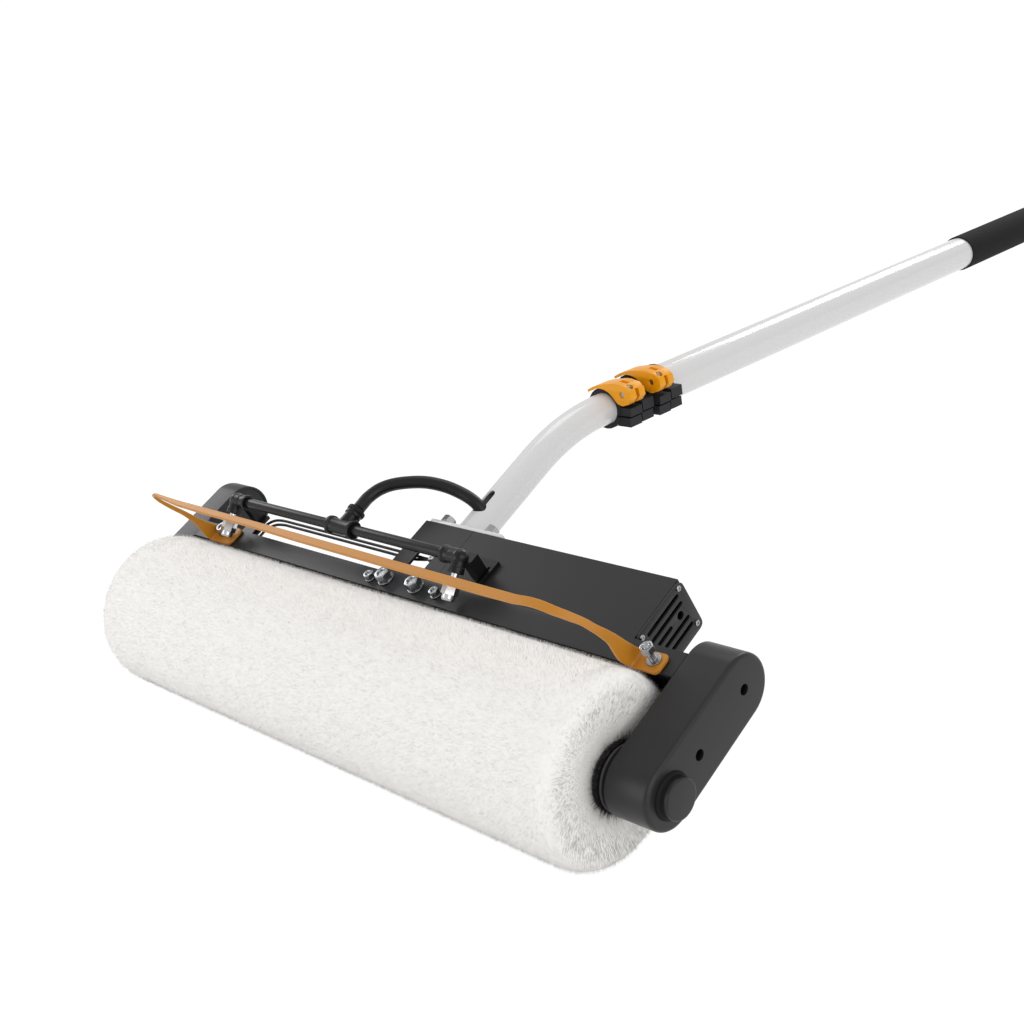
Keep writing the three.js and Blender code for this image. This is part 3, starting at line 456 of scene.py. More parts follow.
def soften(piece, width, segments=2, angle=35):
    """Rounds a piece's sharp edges, as its mould or brake press leaves them."""
    bevel = piece.modifiers.new("edges", "BEVEL")
    bevel.width = width * MM
    bevel.segments = segments
    bevel.limit_method = "ANGLE"
    bevel.angle_limit = math.radians(angle)
    bevel.harden_normals = True


def hexagon(across_flats, height, start=0.0, hole=0.0):
    """A nut along z: its corners are cut back by a cone at both ends. With a hole, its top has the
    mouth of a bore."""
    apothem = across_flats / 2
    face, cone_foot = apothem * 0.96, apothem * 0.98
    cone_slope = math.tan(math.radians(28))
    lip, depth = 0.6, 1.6
    sides = 60
    top = start + height
    loops = [[] for _ in range(7 if hole else 4)]
    for i in range(sides):
        angle = 2 * math.pi * i / sides
        radius = apothem / math.cos((angle % (math.pi / 3)) - math.pi / 6)
        drop = (radius - cone_foot) * cone_slope
        corners = [(face, start), (radius, start + drop), (radius, top - drop), (face, top)]
        corners += [(hole + lip, top), (hole, top - lip), (hole, top - depth)]
        for loop, (out, level) in zip(loops, corners):
            loop.append(Vector((out * math.cos(angle), out * math.sin(angle), level)))
    return from_loops(loops)


def thread(radius, start, end):
    """A bolt's end along z, with the ridges of its thread."""
    pitch, depth, chamfer = 1.25, 0.6, 0.9
    ridge = ((0.25, 0), (0.5, 0), (0.8, depth), (0.95, depth))
    profile = [(0, start, 0)]
    for turn in range(max(1, int((end - start) / pitch))):
        profile += [(radius - cut, start + (turn + share) * pitch, 0) for share, cut in ridge]
    profile += [(radius - chamfer, end, 0), (0, end, 0)]
    return turned(profile, axis="Z", sides=32)


def pointing(place, way, turn=0.0):
    """A matrix that stands a piece made along z at a place, along a way, turned in degrees."""
    quaternion = Vector(way).to_track_quat("Z", "Y").to_matrix().to_4x4()
    return Matrix.Translation(Vector(place)) @ quaternion @ Matrix.Rotation(math.radians(turn), 4, "Z")


# ---- Roller ----

BRUSH_END = span("bristles")[1].x
BRUSH_RADIUS = span("bristles")[1].z
# The roller's ends are rounded to this radius.
BRUSH_ROUND = 17
HUB_RADIUS = span("hub_drive")[1].z
BRUSH_BORE = HUB_RADIUS + 0.5
CORE_END = span("brush_core")[1].x
CORE_RADIUS = span("brush_core")[1].z
# A single filament would be too fine to show in a fleece, so both kinds are drawn a little wider.
BRISTLE_WIDTH, FRINGE_WIDTH = 0.45, 0.35


def roller_outline(chance, count):
    """Places on the roller's outline, as x and radius, spread evenly over its area."""
    flat = BRUSH_END - BRUSH_ROUND
    turn = BRUSH_RADIUS - BRUSH_ROUND
    angles = np.linspace(0, math.pi / 2, 40)
    along = [0.0] + [flat + BRUSH_ROUND * math.sin(a) for a in angles] + [BRUSH_END]
    radii = [BRUSH_RADIUS] + [turn + BRUSH_ROUND * math.cos(a) for a in angles] + [BRUSH_BORE]
    steps = np.hypot(np.diff(along), np.diff(radii))
    rings = steps * (np.array(radii[1:]) + np.array(radii[:-1])) / 2
    upto = np.concatenate([[0], np.cumsum(rings)])
    pick = chance.uniform(0, upto[-1], count)
    side = np.where(chance.random(count) < 0.5, -1, 1)
    return side * np.interp(pick, upto, along), np.interp(pick, upto, radii)


def filaments(roots, tips, width, chance):
    """Fine filaments as one mesh: each is a spike with three sides, from a root to a tip."""
    count = len(roots)
    way = tips - roots
    way /= np.linalg.norm(way, axis=1)[:, None]
    other = np.cross(way, chance.normal(size=(count, 3)))
    other /= np.linalg.norm(other, axis=1)[:, None]
    third = np.cross(way, other)
    corners = np.empty((count, 4, 3))
    for k in range(3):
        turn = 2 * math.pi * k / 3
        corners[:, k] = roots + (other * math.cos(turn) + third * math.sin(turn)) * (width / 2)
    corners[:, 3] = tips
    sides = np.array([(0, 1, 3), (1, 2, 3), (2, 0, 3), (2, 1, 0)])
    faces = (sides[None] + 4 * np.arange(count)[:, None, None]).reshape(-1)
    mesh = bpy.data.meshes.new("filaments")
    mesh.vertices.add(4 * count)
    mesh.vertices.foreach_set("co", corners.reshape(-1))
    mesh.loops.add(len(faces))
    mesh.loops.foreach_set("vertex_index", faces.astype(np.int32))
    mesh.polygons.add(len(faces) // 3)
    mesh.polygons.foreach_set("loop_start", np.arange(0, len(faces), 3, dtype=np.int32))
    mesh.update(calc_edges=True)
    return mesh


def around(x, angle, radius):
    """Places round the roller's axis."""
    return np.stack([x, radius * np.sin(angle), radius * np.cos(angle)], axis=1)


def make_bristles(chance):
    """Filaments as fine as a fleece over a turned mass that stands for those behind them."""
    packed = 2.2
    x, mass_radius, mass_bore = BRUSH_END - packed, BRUSH_RADIUS - packed, CORE_RADIUS + 0.3
    mass = turned(
        [
            (BRUSH_BORE, -x, 0),
            (mass_radius, -x, BRUSH_ROUND),
            (mass_radius, x, BRUSH_ROUND),
            (BRUSH_BORE, x, 0),
            (mass_bore, CORE_END, 0),
            (mass_bore, -CORE_END, 0),
        ],
        sides=160,
        steps=10,
    )
    finish_piece("bristle_mass", mass, packed_filament, ["bristles"], body="brush", sharp=80)

    count = 230000
    place, radius = roller_outline(chance, count)
    angle = chance.uniform(0, 2 * math.pi, count)
    # A filament leaves the core square to it, and those near its ends fan out over the hubs.
    square = 250
    foot = np.sign(place) * np.interp(np.abs(place), [0, square, BRUSH_END], [0, square, CORE_END - 6])
    tips = around(place, angle, radius)
    # The feet are spread by an angle in radians, and by millimetres along the roller.
    feet = around(foot, angle + chance.normal(0, 0.045, count), np.full(count, CORE_RADIUS))
    feet[:, 0] += chance.normal(0, 2.0, count)
    way = tips - feet
    length = np.linalg.norm(way, axis=1)
    way /= length[:, None]
    # Tips end a little unevenly, and only the outer part of each filament is drawn.
    most_proud, most_drawn, drawn_share = 1.2, 9, 0.7
    proud = np.minimum(chance.normal(-0.2, 1.0, count), most_proud)
    drawn = np.minimum(most_drawn, drawn_share * length)
    tips, roots = tips + way * proud[:, None], tips - way * drawn[:, None]
    fleece = filaments(roots, tips, BRISTLE_WIDTH, chance)
    finish_piece("bristle_filaments", fleece, nylon_filament, body="brush", sharp=180)


def make_hub(name, side, chance):
    """A hub with grooves round its outer end, and the black fringe beside the bristles."""
    low, high = span("hub_" + name)
    inner_end, outer_end = sorted((abs(low.x), abs(high.x)))
    groove_start = CORE_END + 0.3
    bore, neck, ribs, groove_depth = 7, 20.7, 5, 2
    step = (outer_end - groove_start) / (2 * ribs - 1)
    profile = [(bore, side * inner_end, 0), (neck, side * inner_end, 1), (neck, side * groove_start, 0)]
    for rib in range(ribs):
        at = groove_start + 2 * rib * step
        profile += [(HUB_RADIUS, side * (at + end * step), 0.6) for end in (0, 1)]
        if rib < ribs - 1:
            profile += [(HUB_RADIUS - groove_depth, side * (at + end * step), 0.4) for end in (1, 2)]
    profile += [(bore, side * outer_end, 0)]
    hub = turned(profile, sides=96)
    finish_piece("hub_ring_" + name, hub, nylon_hub, ["hub_" + name], body="brush")

    # Most of the fringe is short, and it starts under the hub's skin.
    count, sunk, longest = 2000, 1.5, 10
    angle = chance.uniform(0, 2 * math.pi, count)
    base = side * (BRUSH_END + chance.uniform(1.0, 3.5, count))
    roots = around(base, angle, np.full(count, HUB_RADIUS - sunk))
    reach = HUB_RADIUS + np.minimum(chance.exponential(2.9, count), longest)
    tips = around(base + chance.normal(0, 1.0, count), angle + chance.normal(0, 0.1, count), reach)
    fringe = filaments(roots, tips, FRINGE_WIDTH, chance)
    finish_piece(
        "hub_fringe_" + name, fringe, fringe_filament, body="brush", sharp=180
    )


def make_roller():
    """The bristles and both hubs."""
    chance = np.random.default_rng(11)
    make_bristles(chance)
    make_hub("drive", 1, chance)
    make_hub("idle", -1, chance)


# ---- Housings at the roller's ends ----

COVER_WALL = 2.5
# The radius round the outer face of a cover.
COVER_EDGE = 4


def housing_skin(node, side):
    """A cast cover, open towards the roller: two round ends and straight sides."""
    low, high = span(node)
    inner, outer = sorted((abs(low.x), abs(high.x)))
    radius = -low.z
    wall = COVER_WALL
    profile = [
        (0, side * outer, 0),
        (radius, side * outer, COVER_EDGE),
        (radius, side * inner, 0.4),
        (radius - wall, side * inner, 0.4),
        (radius - wall, side * (outer - wall), COVER_EDGE - wall * 0.6),
        (0, side * (outer - wall), 0),
    ]
    sides = 96
    loops = []
    for out, along in rounded(profile, steps=6):
        loop = []
        for i in range(sides):
            angle = 2 * math.pi * (i + 0.5) / sides
            centre = high.z - radius if math.sin(angle) > 0 else 0
            loop.append(Vector((along, out * math.cos(angle), centre + out * math.sin(angle))))
        loops.append(loop)
    return from_loops(loops, caps=False)


def make_belt_housing():
    """The cover over the belt, with two deep screw sockets, and the boss and seal of its bearing."""
    low, high = span("belt_cover")
    face = high.x
    socket, socket_rim, floor, back = 4.4, 6, face - 7.5, face - 9
    cup = [(socket, face - 2, 0), (socket_rim, face - 2.2, 0), (socket_rim, back, 0)]
    cup += [(0.01, back, 0), (0.01, floor, 0), (socket, floor, 0)]
    # The upper socket is in line with the cover's upper round end.
    lower_socket, upper_socket = 36.5, high.z + low.z
    heights = (lower_socket, upper_socket)
    ends = [[(x, 0, height) for x in (face - 8, face + 2)] for height in heights]
    holes = [swept(end, socket, sides=40, smooth=False) for end in ends]
    cover = bored(housing_skin("belt_cover", 1), *holes)
    finish_piece("belt_housing", cover, cast_charcoal, ["belt_cover"])
    cups = [turned(cup, sides=40, at=(0, 0, height)) for height in heights]
    finish_piece("belt_housing_sockets", joined(*cups), nylon_black)

    # The boss stands in a black rubber seal, and its own face is coated. The seal runs up most of the
    # boss's side wall, so its black is partly a real seal and partly painted shade round the boss's foot.
    cap = span("bearing_cap")[1]
    rim, stem, shoulder, root = 15.75, 14, face + 5.5, face - 2.6
    boss = [(0, cap.x, 0), (rim, cap.x, 1.6), (rim, shoulder, 0.2), (stem, shoulder, 0)]
    boss += [(stem, root, 0), (0, root, 0)]
    finish_piece("bearing_boss", turned_solid(boss), cast_charcoal, ["bearing_cap"])
    seal = [(14.2, face + 0.2, 0), (cap.y, face + 0.2, 0.2), (17.6, face + 1.4, 1.2)]
    seal += [(15.9, face + 2.4, 1), (15.6, face + 5.3, 0.2), (14.2, face + 5.3, 0)]
    finish_piece("bearing_seal_and_painted_shade", turned(seal, sides=96), seal_rubber_and_painted_shade)


def make_idler_housing():
    """The taller cover at the other end."""
    skin = housing_skin("idler_housing", -1)
    finish_piece("idler_cover", skin, cast_charcoal, ["idler_housing"])


# ---- Motor box ----


def cross_screw(radius, height):
    """A pan-head screw along z with a cross recess."""
    head = turned_solid(
        [(0, height, 0), (radius, height, height * 0.75), (radius, 0, 0), (0, 0, 0)], sides=40, axis="Z"
    )
    deep = height * 0.45
    long, wide = radius * 0.625, radius * 0.15
    arms = [box_outline(-a, a, -b, b, 0) for a, b in ((long, wide), (wide, long))]
    return bored(head, *[plate([arm], deep, height + 1, "Z", 0.01) for arm in arms])


def make_end_cap():
    """The vented plate: long slots, a short one under the cable hole, and a screw at each corner."""
    low, high = span("vented_end_cap")
    width, middle = 3.8, -2
    foot, top = low.z + 10.2, high.z - 9
    slots = [slot_outline(middle + y, width, foot, top) for y in (-16, -8, 8, 16)]
    slots.append(slot_outline(middle, width, foot, foot + 24))
    corner, notch, notch_top = 6, 6, low.z + 5.7
    outline = rounded(
        [
            (low.y, low.z, corner),
            (-notch, low.z, 0),
            (-notch, notch_top, 2),
            (notch, notch_top, 2),
            (notch, low.z, 0),
            (high.y, low.z, corner),
            (high.y, high.z, corner),
            (low.y, high.z, corner),
        ]
    )
    hole = circle(middle, high.z - 16.5, 3.6)
    mesh = plate([outline, hole, *slots], low.x, high.x, "X", 0.35)
    finish_piece("vented_plate", mesh, powder_charcoal, ["vented_end_cap"])
    places = [(y, z) for y in (low.y + 3.2, high.y - 7.6) for z in (low.z + 5, high.z - 6.2)]
    for number, (y, z) in enumerate(places, 1):
        place = pointing((high.x - 0.1, y, z), (1, 0, 0), 25 * number)
        finish_piece(
            f"end_screw_{number}", cross_screw(2.4, 1.5), zinc_plate, matrix=HEAD @ place
        )


# ---- Neck, tubes, grip ----

NECK_RADIUS = 16
# The radius that the neck's axis is bent to.
NECK_BEND = 230
# One wall for the neck and both sliding tubes.
TUBE_WALL = 1.5


def neck_route(steps=24):
    """The neck's axis: up, a bend, and along the pole."""
    start = NECK_CORNER - NECK_BEND * math.tan(POLE_TILT / 2)
    points = [Vector((POLE_X, 0, span("gooseneck_tube")[0].z))]
    for i in range(steps + 1):
        turn = POLE_TILT * i / steps
        y, z = NECK_BEND * (1 - math.cos(turn)), start + NECK_BEND * math.sin(turn)
        points.append(Vector((POLE_X, y, z)))
    end = span("gooseneck_tube", POLE)[1].z
    return points + [HEAD.inverted() @ POLE @ Vector((0, 0, end))]


# From the collar on the tee, in one stiff arch, into the slot of the neck.
HOSE_ROUTE = [
    (-83, -55, 134.8),
    (-83.5, -55, 140.8),
    (-83.5, -55, 150.8),
    (-79, -54, 164),
    (-68, -51, 176),
    (-48, -45, 188),
    (-31, -36.5, 195),
    (-15, -28, 197.5),
    (-2, -20.5, 197),
    (6, -11, 195),
    (9, -1, 192),
]
HOSE_RADIUS = 6


def make_neck():
    """The neck tube, with a slot in its front and a way into it for the hose."""
    width, foot, top = 9, 195, 217
    slot = plate([slot_outline(POLE_X, width, foot, top)], -NECK_RADIUS - 5, -NECK_RADIUS / 2, "Y", 0.01)
    entry = swept(HOSE_ROUTE[-5:], HOSE_RADIUS + 0.6, sides=32)
    hollow = (NECK_RADIUS - TUBE_WALL) / NECK_RADIUS
    tube = swept(neck_route(), NECK_RADIUS, sides=96, smooth=False, hollow=hollow)
    neck = bored(tube, slot, entry)
    finish_piece("neck_tube", neck, enamel_white, ["gooseneck_tube"], sharp=50)


def make_telescope():
    """The pole's two sliding tubes."""
    for name, radius in (("middle", 18), ("outer", 20)):
        low, high = span(name + "_tube", POLE)
        bore = radius - TUBE_WALL
        profile = [(bore, low.z, 0), (radius, low.z, 0.5), (radius, high.z, 0.5), (bore, high.z, 0)]
        tube = turned(profile, sides=128, axis="Z")
        body, node = name + "_section", name + "_tube"
        finish_piece(name + "_telescope", tube, enamel_white, [node], body, POLE)


def make_grip():
    """The foam grip, and the cap on the pole's end with its barbed tail for the supply hose."""
    low, high = span("grip", POLE)
    bore, skin = 20.3, 21.8
    foam = [(bore, low.z, 0), (skin, low.z, 1.2), (skin, high.z, 1.2), (bore, high.z, 0)]
    grip = turned(foam, sides=96, axis="Z")
    finish_piece("foam_grip", grip, foam_rubber, ["grip"], "outer_section", POLE)
    bore, tail_end = 4, 32.3
    cap = [(bore, 0.3, 0), (21, 0.3, 0.5), (23.3, 1.5, 1), (23.3, 12.3, 3), (12, 12.3, 1.5)]
    cap += [(9, 15, 1), (7, 15.5, 0.5)]
    for barb in range(4):
        foot = 17.5 + barb * 3.6
        cap += [(5.9, foot, 0), (7, foot + 0.6, 0.2), (6.6, foot + 1.6, 0)]
    cap += [(5.6, tail_end, 0.3), (bore, tail_end, 0)]
    tail = turned(cap, sides=96, axis="Z", at=(0, 0, high.z))
    finish_piece(
        "hose_tail_cap", tail, nylon_black, ["end_cap"], "outer_section", POLE
    )


def make_neck_flange():
    """The plate that the neck is welded to, and the weld."""
    low, high = span("pole_flange")
    bore = circle(POLE_X, 0, 9)
    foot = plate([box_outline(low.x, high.x, low.y, high.y, 3), bore], low.z, high.z, "Z", 0.6)
    finish_piece("neck_flange", foot, enamel_white, ["pole_flange"])
    skin = NECK_RADIUS + 0.1
    fillet = [(skin, high.z, 0), (19, high.z + 0.05, 0), (skin, high.z + 3, 0)]
    weld = turned(fillet, axis="Z", at=(POLE_X, 0, 0))
    finish_piece("neck_weld", weld, enamel_white, sharp=60)


# ---- Fasteners ----


def nut(name, width, height, bolt, stand=0.0):
    """A washer, a nut and the end of its bolt, seated where the CAD node of that name is. The width
    is across the nut's corners, bolt is a radius, and a nut may stand off on its bolt."""
    low, high = span(name)
    centre = (low + high) / 2
    if name.startswith("flange"):
        place, way = (centre.x, centre.y, low.z), (0, 0, 1)
    else:
        place, way = (centre.x, high.y, centre.z), (0, -1, 0)
    thick, rim, clearance = 1.2, width / 2 + 0.3, 0.05
    washer = turned([(bolt, 0, 0), (rim, 0, 0.3), (rim, thick, 0.3), (bolt, thick, 0)], axis="Z", sides=48)
    seat = thick + clearance
    # The bolt of a nut that is screwed home ends inside it, below the mouth of its bore.
    shank = thread(bolt, 0, stand + height + 2) if stand else thread(bolt, seat + clearance, 0.75 * height)
    head = hexagon(width * math.cos(math.pi / 6), height, stand + seat, bolt + 0.1)
    # Each nut is left at an angle of its own.
    spin = (sum(ord(letter) for letter in name) * 7) % 60
    seated = HEAD @ pointing(place, way, spin)
    made = joined(washer, head, shank)
    finish_piece(name + "_set", made, zinc_plate, [name], matrix=seated, sharp=25)


def make_fasteners():
    """Every nut on the head."""
    for side in ("left", "right"):
        nut("saddle_nut_" + side, 15, 8, 4)
        nut("plate_nut_" + side, 10, 5, 2.5)
        nut("flange_bolt_" + side, 13, 7, 3.5)
    nut("guard_nut_left", 13, 7, 3.5)
    nut("guard_nut_right", 11.5, 5.5, 3, stand=9)


# ---- Spray line ----

NOZZLE_TILT = math.radians(30)
NOZZLE_WAY = Vector((0, math.sin(NOZZLE_TILT), -math.cos(NOZZLE_TILT)))


def spray_axis():
    """Where the axis of the spray line's pipes passes the middle of the head."""
    low, high = span("spray_pipe_left")
    middle = (low + high) / 2
    return Vector((0, middle.y, middle.z))


SPRAY_AXIS = spray_axis()


def make_spray_tube(side):
    """One length of the pipe."""
    low, high = span("spray_pipe_" + side)
    radius, bore = 5, 3.6
    profile = [(bore, low.x, 0), (radius, low.x, 0.4), (radius, high.x, 0.4), (bore, high.x, 0)]
    tube = turned(profile, sides=48, at=SPRAY_AXIS)
    finish_piece("spray_tube_" + side, tube, nylon_black, ["spray_pipe_" + side])


def make_spray_bend(side, inner, corner):
    """An elbow: a sleeve along the pipe, a ball at the corner and a leg towards the nozzle."""
    bore, lip, mouth = 5.2, 7.9, 20
    rings = [(bore, 9, 0), (7.2, 0, 0), (7.2, 9, 0.6), (6.6, 10, 0.4), (7, 15, 1)]
    rings += [(lip, 17, 0.8), (lip, mouth, 0.6), (bore, mouth, 0.3)]
    sleeve = turned([(radius, inner * along, edge) for radius, along, edge in rings], sides=48, at=corner)
    ball = 7.6
    meridian = [(ball * math.cos(a), ball * math.sin(a), 0) for a in np.linspace(-1.4, 1.4, 15)]
    knuckle = turned_solid([(0, -ball, 0), *meridian, (0, ball, 0)], sides=48, at=corner)
    shin = [(0, 0, 0), (6.6, 0, 0), (6.6, 8, 0.4), (7, 8.6, 0.3), (7, 14, 0.6), (0, 14, 0)]
    leg = turned_solid(shin, sides=48, axis="Z")
    leg.transform(pointing(corner, NOZZLE_WAY))
    bend = joined(sleeve, knuckle, leg)
    finish_piece("spray_bend_" + side, bend, nylon_black, ["spray_elbow_" + side])


def make_nozzle(side, corner):
    """A stem, a thin flange, a hexagon and the hollow tip."""
    foot, tip_foot, end = 14.3, 31, 38
    nut_foot, nut_height = 22.5, 10.4
    stem = [(0, foot, 0), (3.2, foot, 0), (3.2, nut_foot, 0), (0, nut_foot, 0)]
    flange = [(2, 21, 0), (9, 21, 0.4), (9, 22.4, 0.4), (2, 22.4, 0)]
    mouth = [(1, tip_foot, 0), (6, 33, 0), (6, 36, 0.5), (5, end, 0.6), (1.4, end, 0.2), (1, 36, 0)]
    jet = joined(
        turned_solid(stem, sides=32, axis="Z"),
        turned(flange, axis="Z", sides=48),
        hexagon(13, nut_height, nut_foot),
        turned(mouth, axis="Z", sides=48),
    )
    jet.transform(pointing(corner, NOZZLE_WAY, 12))
    finish_piece("spray_jet_" + side, jet, chrome_plate, ["nozzle_" + side], sharp=25)


def make_spray_cross():
    """The tee between the two pipes, and the knurled collar of the hose on its branch."""
    low, high = span("spray_tee")
    centre = SPRAY_AXIS + Vector(((low.x + high.x) / 2, 0, 0))
    half = [(5.2, -18, 0.2), (8.6, -18, 0.8), (8.6, -14, 0.5), (7.3, -13.4, 0.5)]
    mirrored = [(radius, -along, edge) for radius, along, edge in reversed(half)]
    body = turned(half + mirrored, sides=48, at=centre)
    neck = [(4, 0, 0), (7, 0, 0), (7, 13.6, 0.5), (8.2, 14.2, 0.5), (8.2, 18, 0.6), (4, 18, 0.3)]
    branch = turned(neck, sides=48, axis="Z", at=centre)
    tee = joined(body, branch)
    finish_piece("spray_cross", tee, nylon_black, ["spray_tee"])

    low, high = span("hose_nut")
    radius, groove, corners = 9, 0.5, 96
    levels = ((low.z, 0.94), (low.z + 0.5, 1), (high.z - 0.5, 1), (high.z, 0.92))
    knurled = []
    for level, size in levels:
        ring = []
        for i in range(corners):
            angle = 2 * math.pi * i / corners
            out = radius * size - (groove if i % 4 < 2 else 0)
            ring.append(Vector((centre.x + out * math.cos(angle), centre.y + out * math.sin(angle), level)))
        knurled.append(ring)
    collar = from_loops(knurled)
    finish_piece("hose_collar", collar, nylon_black, ["hose_nut"])


def make_spray_line():
    """Two pipes with an elbow and a nozzle at their outer ends, the tee between them and the hose."""
    corner_in = 8
    for side, inner in (("left", 1), ("right", -1)):
        low, high = span("spray_elbow_" + side)
        outer = low.x if side == "left" else high.x
        corner = SPRAY_AXIS + Vector((outer + inner * corner_in, 0, 0))
        make_spray_tube(side)
        make_spray_bend(side, inner, corner)
        make_nozzle(side, corner)
    make_spray_cross()
    hose = swept(HOSE_ROUTE, HOSE_RADIUS, sides=40, per_span=12)
    finish_piece("feed_hose", hose, hose_rubber, ["water_hose"], sharp=80)


def make_lead():
    """The motor's two leads, side by side: one bends down inside the other at the left end."""
    low, high = span("motor_lead")
    gland = span("lead_gland")
    start, y, height = high.x, (low.y + high.y) / 2, (gland[0].z + gland[1].z) / 2
    strands = []
    # How far each strand is inside the outer one, along the roller and down.
    for inset, drop in ((0, 0), (7, 4.6)):
        end = low.x + 1.5 + inset
        top = height - drop
        route = [(start, y, height), (start - 8, y, height - 0.4 * (1 + drop)), (start - 24, y, top)]
        route += [(x, y, top) for x in (-60, -130, -200)]
        route += [(end + 18, y, top - 0.4), (end + 6, y, top - 4), (end + 0.4, y, top - 13)]
        route += [(end, y, low.z + 6), (end, y, low.z)]
        strands.append(swept(route, 1.4, sides=16))
    leads = joined(*strands)
    finish_piece("motor_leads", leads, hose_rubber, ["motor_lead"], sharp=80)


# ---- Guard ----

GUARD_HALF = 1.5
# How far the upper and the lower edge of the bar are below the beam's top: on both tabs, at places
# given by y along each arm, and at places given by x along the front run.
LEFT_TAB_EDGES = (2.5, 24.4)
LEFT_ARM_EDGES = {
    -30: LEFT_TAB_EDGES, -35: (9, 26.4), -57: (20.3, 27.2), -72: (26.4, 31.4),
    -88: (33.4, 37.9), -100: (38.4, 42), -113: (42.8, 45.6),
}
FRONT_EDGES = {
    -262: (43.6, 47), -225: (44.6, 50.4), -180: (44.5, 51.2), -100: (44.7, 51.4),
    -33: (45, 52.7), 116: (46, 53.9), 208: (46.4, 54.5), 240: (46.5, 54.2),
}
RIGHT_ARM_EDGES = {
    -108: (41.8, 49.2), -98: (37.2, 44.2), -92: (34.8, 41.3), -82: (31.2, 37.8), -73: (27, 35),
    -61: (22, 31.6), -51: (18.5, 31.8), -42: (14.6, 31.4), -35: (11.4, 28.6), -30: (8, 26),
}
RIGHT_TAB_EDGES = (7, 26)
# The edges are smoothed over this many millimetres.
EDGE_SMOOTHING = 13


def guard_line():
    """The bar's middle line seen from above, from the left tab's end to the right one's. Its points
    are about 2 mm apart."""
    low, high = span("guard_bar")
    left, front, back = low.x + GUARD_HALF, low.y + GUARD_HALF, high.y - GUARD_HALF
    right = -left
    bend, left_corner, right_corner = 3.5, 16.5, 43.5
    line = [(left + 32.5, back)]
    line += arc((left + bend, back - bend), bend, 90, 180, 6)
    line += arc((left + left_corner, front + left_corner), left_corner, 180, 270, 14)
    line += [(x, front) for x in range(-240, 240, 20)]
    line += arc((right - right_corner, front + right_corner), right_corner, 270, 360, 24)
    line += [(right, y) for y in range(-68, -34, 4)]
    line += arc((right + bend, back - bend), bend, 180, 90, 6)
    line += [(right + 26, back)]
    fine = [line[0]]
    for start, stop in zip(line, line[1:]):
        count = max(1, round(math.dist(start, stop) / 2))
        for step in range(1, count + 1):
            fine.append(tuple(a + (b - a) * step / count for a, b in zip(start, stop)))
    return np.array(fine)


def guard_edges(line, along):
    """How far the upper and the lower edge are below the beam's top, at each point of the line."""
    flat_tab = 31
    tab_end = np.argmax(line[:, 0] < line[0, 0] - flat_tab)
    knots = [(0, LEFT_TAB_EDGES), (along[tab_end], LEFT_TAB_EDGES), (along[-1], RIGHT_TAB_EDGES)]
    left_half = np.arange(len(line)) < len(line) // 2
    front_run = line[:, 1] < line[:, 1].min() + 2
    for places, column, part in (
        (LEFT_ARM_EDGES, 1, left_half),
        (FRONT_EDGES, 0, front_run),
        (RIGHT_ARM_EDGES, 1, ~left_half),
    ):
        for place, pair in places.items():
            off = np.where(part, np.abs(line[:, column] - place), np.inf)
            knots.append((along[off.argmin()], pair))
    knots.sort()
    at = np.array([place for place, _ in knots])
    pairs = np.array([pair for _, pair in knots])
    even = np.arange(0, along[-1], 1.0)
    kernel = np.hanning(EDGE_SMOOTHING)
    kernel /= kernel.sum()
    edges = []
    for column in range(2):
        values = np.pad(np.interp(even, at, pairs[:, column]), EDGE_SMOOTHING // 2, mode="edge")
        edges.append(np.interp(along, even, np.convolve(values, kernel, mode="valid")))
    return edges


def make_guard():
    """A flat bar bent on edge: narrow at its left corner, deep at both tabs."""
    line = guard_line()
    along = np.concatenate([[0], np.cumsum(np.linalg.norm(np.diff(line, axis=0), axis=1))])
    upper, lower = guard_edges(line, along)
    # The tabs' corners are rounded, and a little of each tab's end is left flat.
    corner, rounded_share = 4.5, 0.98
    to_end = np.minimum(along, along[-1] - along)
    drop = corner - np.sqrt(np.maximum(0, to_end * (2 * corner - to_end)))
    cut = np.where(to_end < corner, drop, 0) * rounded_share
    top = span("beam")[1].z
    way = np.gradient(line, axis=0)
    way /= np.linalg.norm(way, axis=1)[:, None]
    off = np.stack([way[:, 1], -way[:, 0]], axis=1) * GUARD_HALF
    loops = []
    for outer, inner, foot, head in zip(line + off, line - off, top - lower + cut, top - upper - cut):
        corners = ((outer, foot), (outer, head), (inner, head), (inner, foot))
        loops.append([Vector((place[0], place[1], level)) for place, level in corners])
    bar = from_loops(loops)
    guard = finish_piece("bent_guard", bar, powder_amber, ["guard_bar"], sharp=40)
    soften(guard, 0.9, segments=3, angle=50)


# ---- CAD pieces, and pieces cut from them ----

SLOT_FINISH = {
    "bristle": nylon_filament,
    "black_paint": powder_charcoal,
    "black_plastic": nylon_black,
    "clamp_plastic": nylon_clamp,
    "orange_paint": powder_amber,
    "orange_plastic": polypropylene_amber,
    "white_pole": enamel_white,
    "white_flange": enamel_white,
    "grip_foam": foam_rubber,
    "rubber": hose_rubber,
    "steel": turned_steel,
    "zinc": zinc_plate,
    "aluminium": turned_aluminium,
}
EDGE_WIDTH = {
    "beam": 1.0,
    "motor_box": 1.0,
    "pole_saddle": 0.9,
    "clamp_collar_middle": 0.6,
    "clamp_collar_outer": 0.6,
    "spray_bracket_left": 0.5,
    "spray_bracket_right": 0.5,
    "belt_backplate": 0.5,
    "idler_plate": 0.5,
}


def cad_mesh(node):
    """A CAD node's mesh in millimetres along the head's axes."""
    mesh = NODES[node].data.copy()
    mesh.transform(HEAD.inverted())
    return mesh


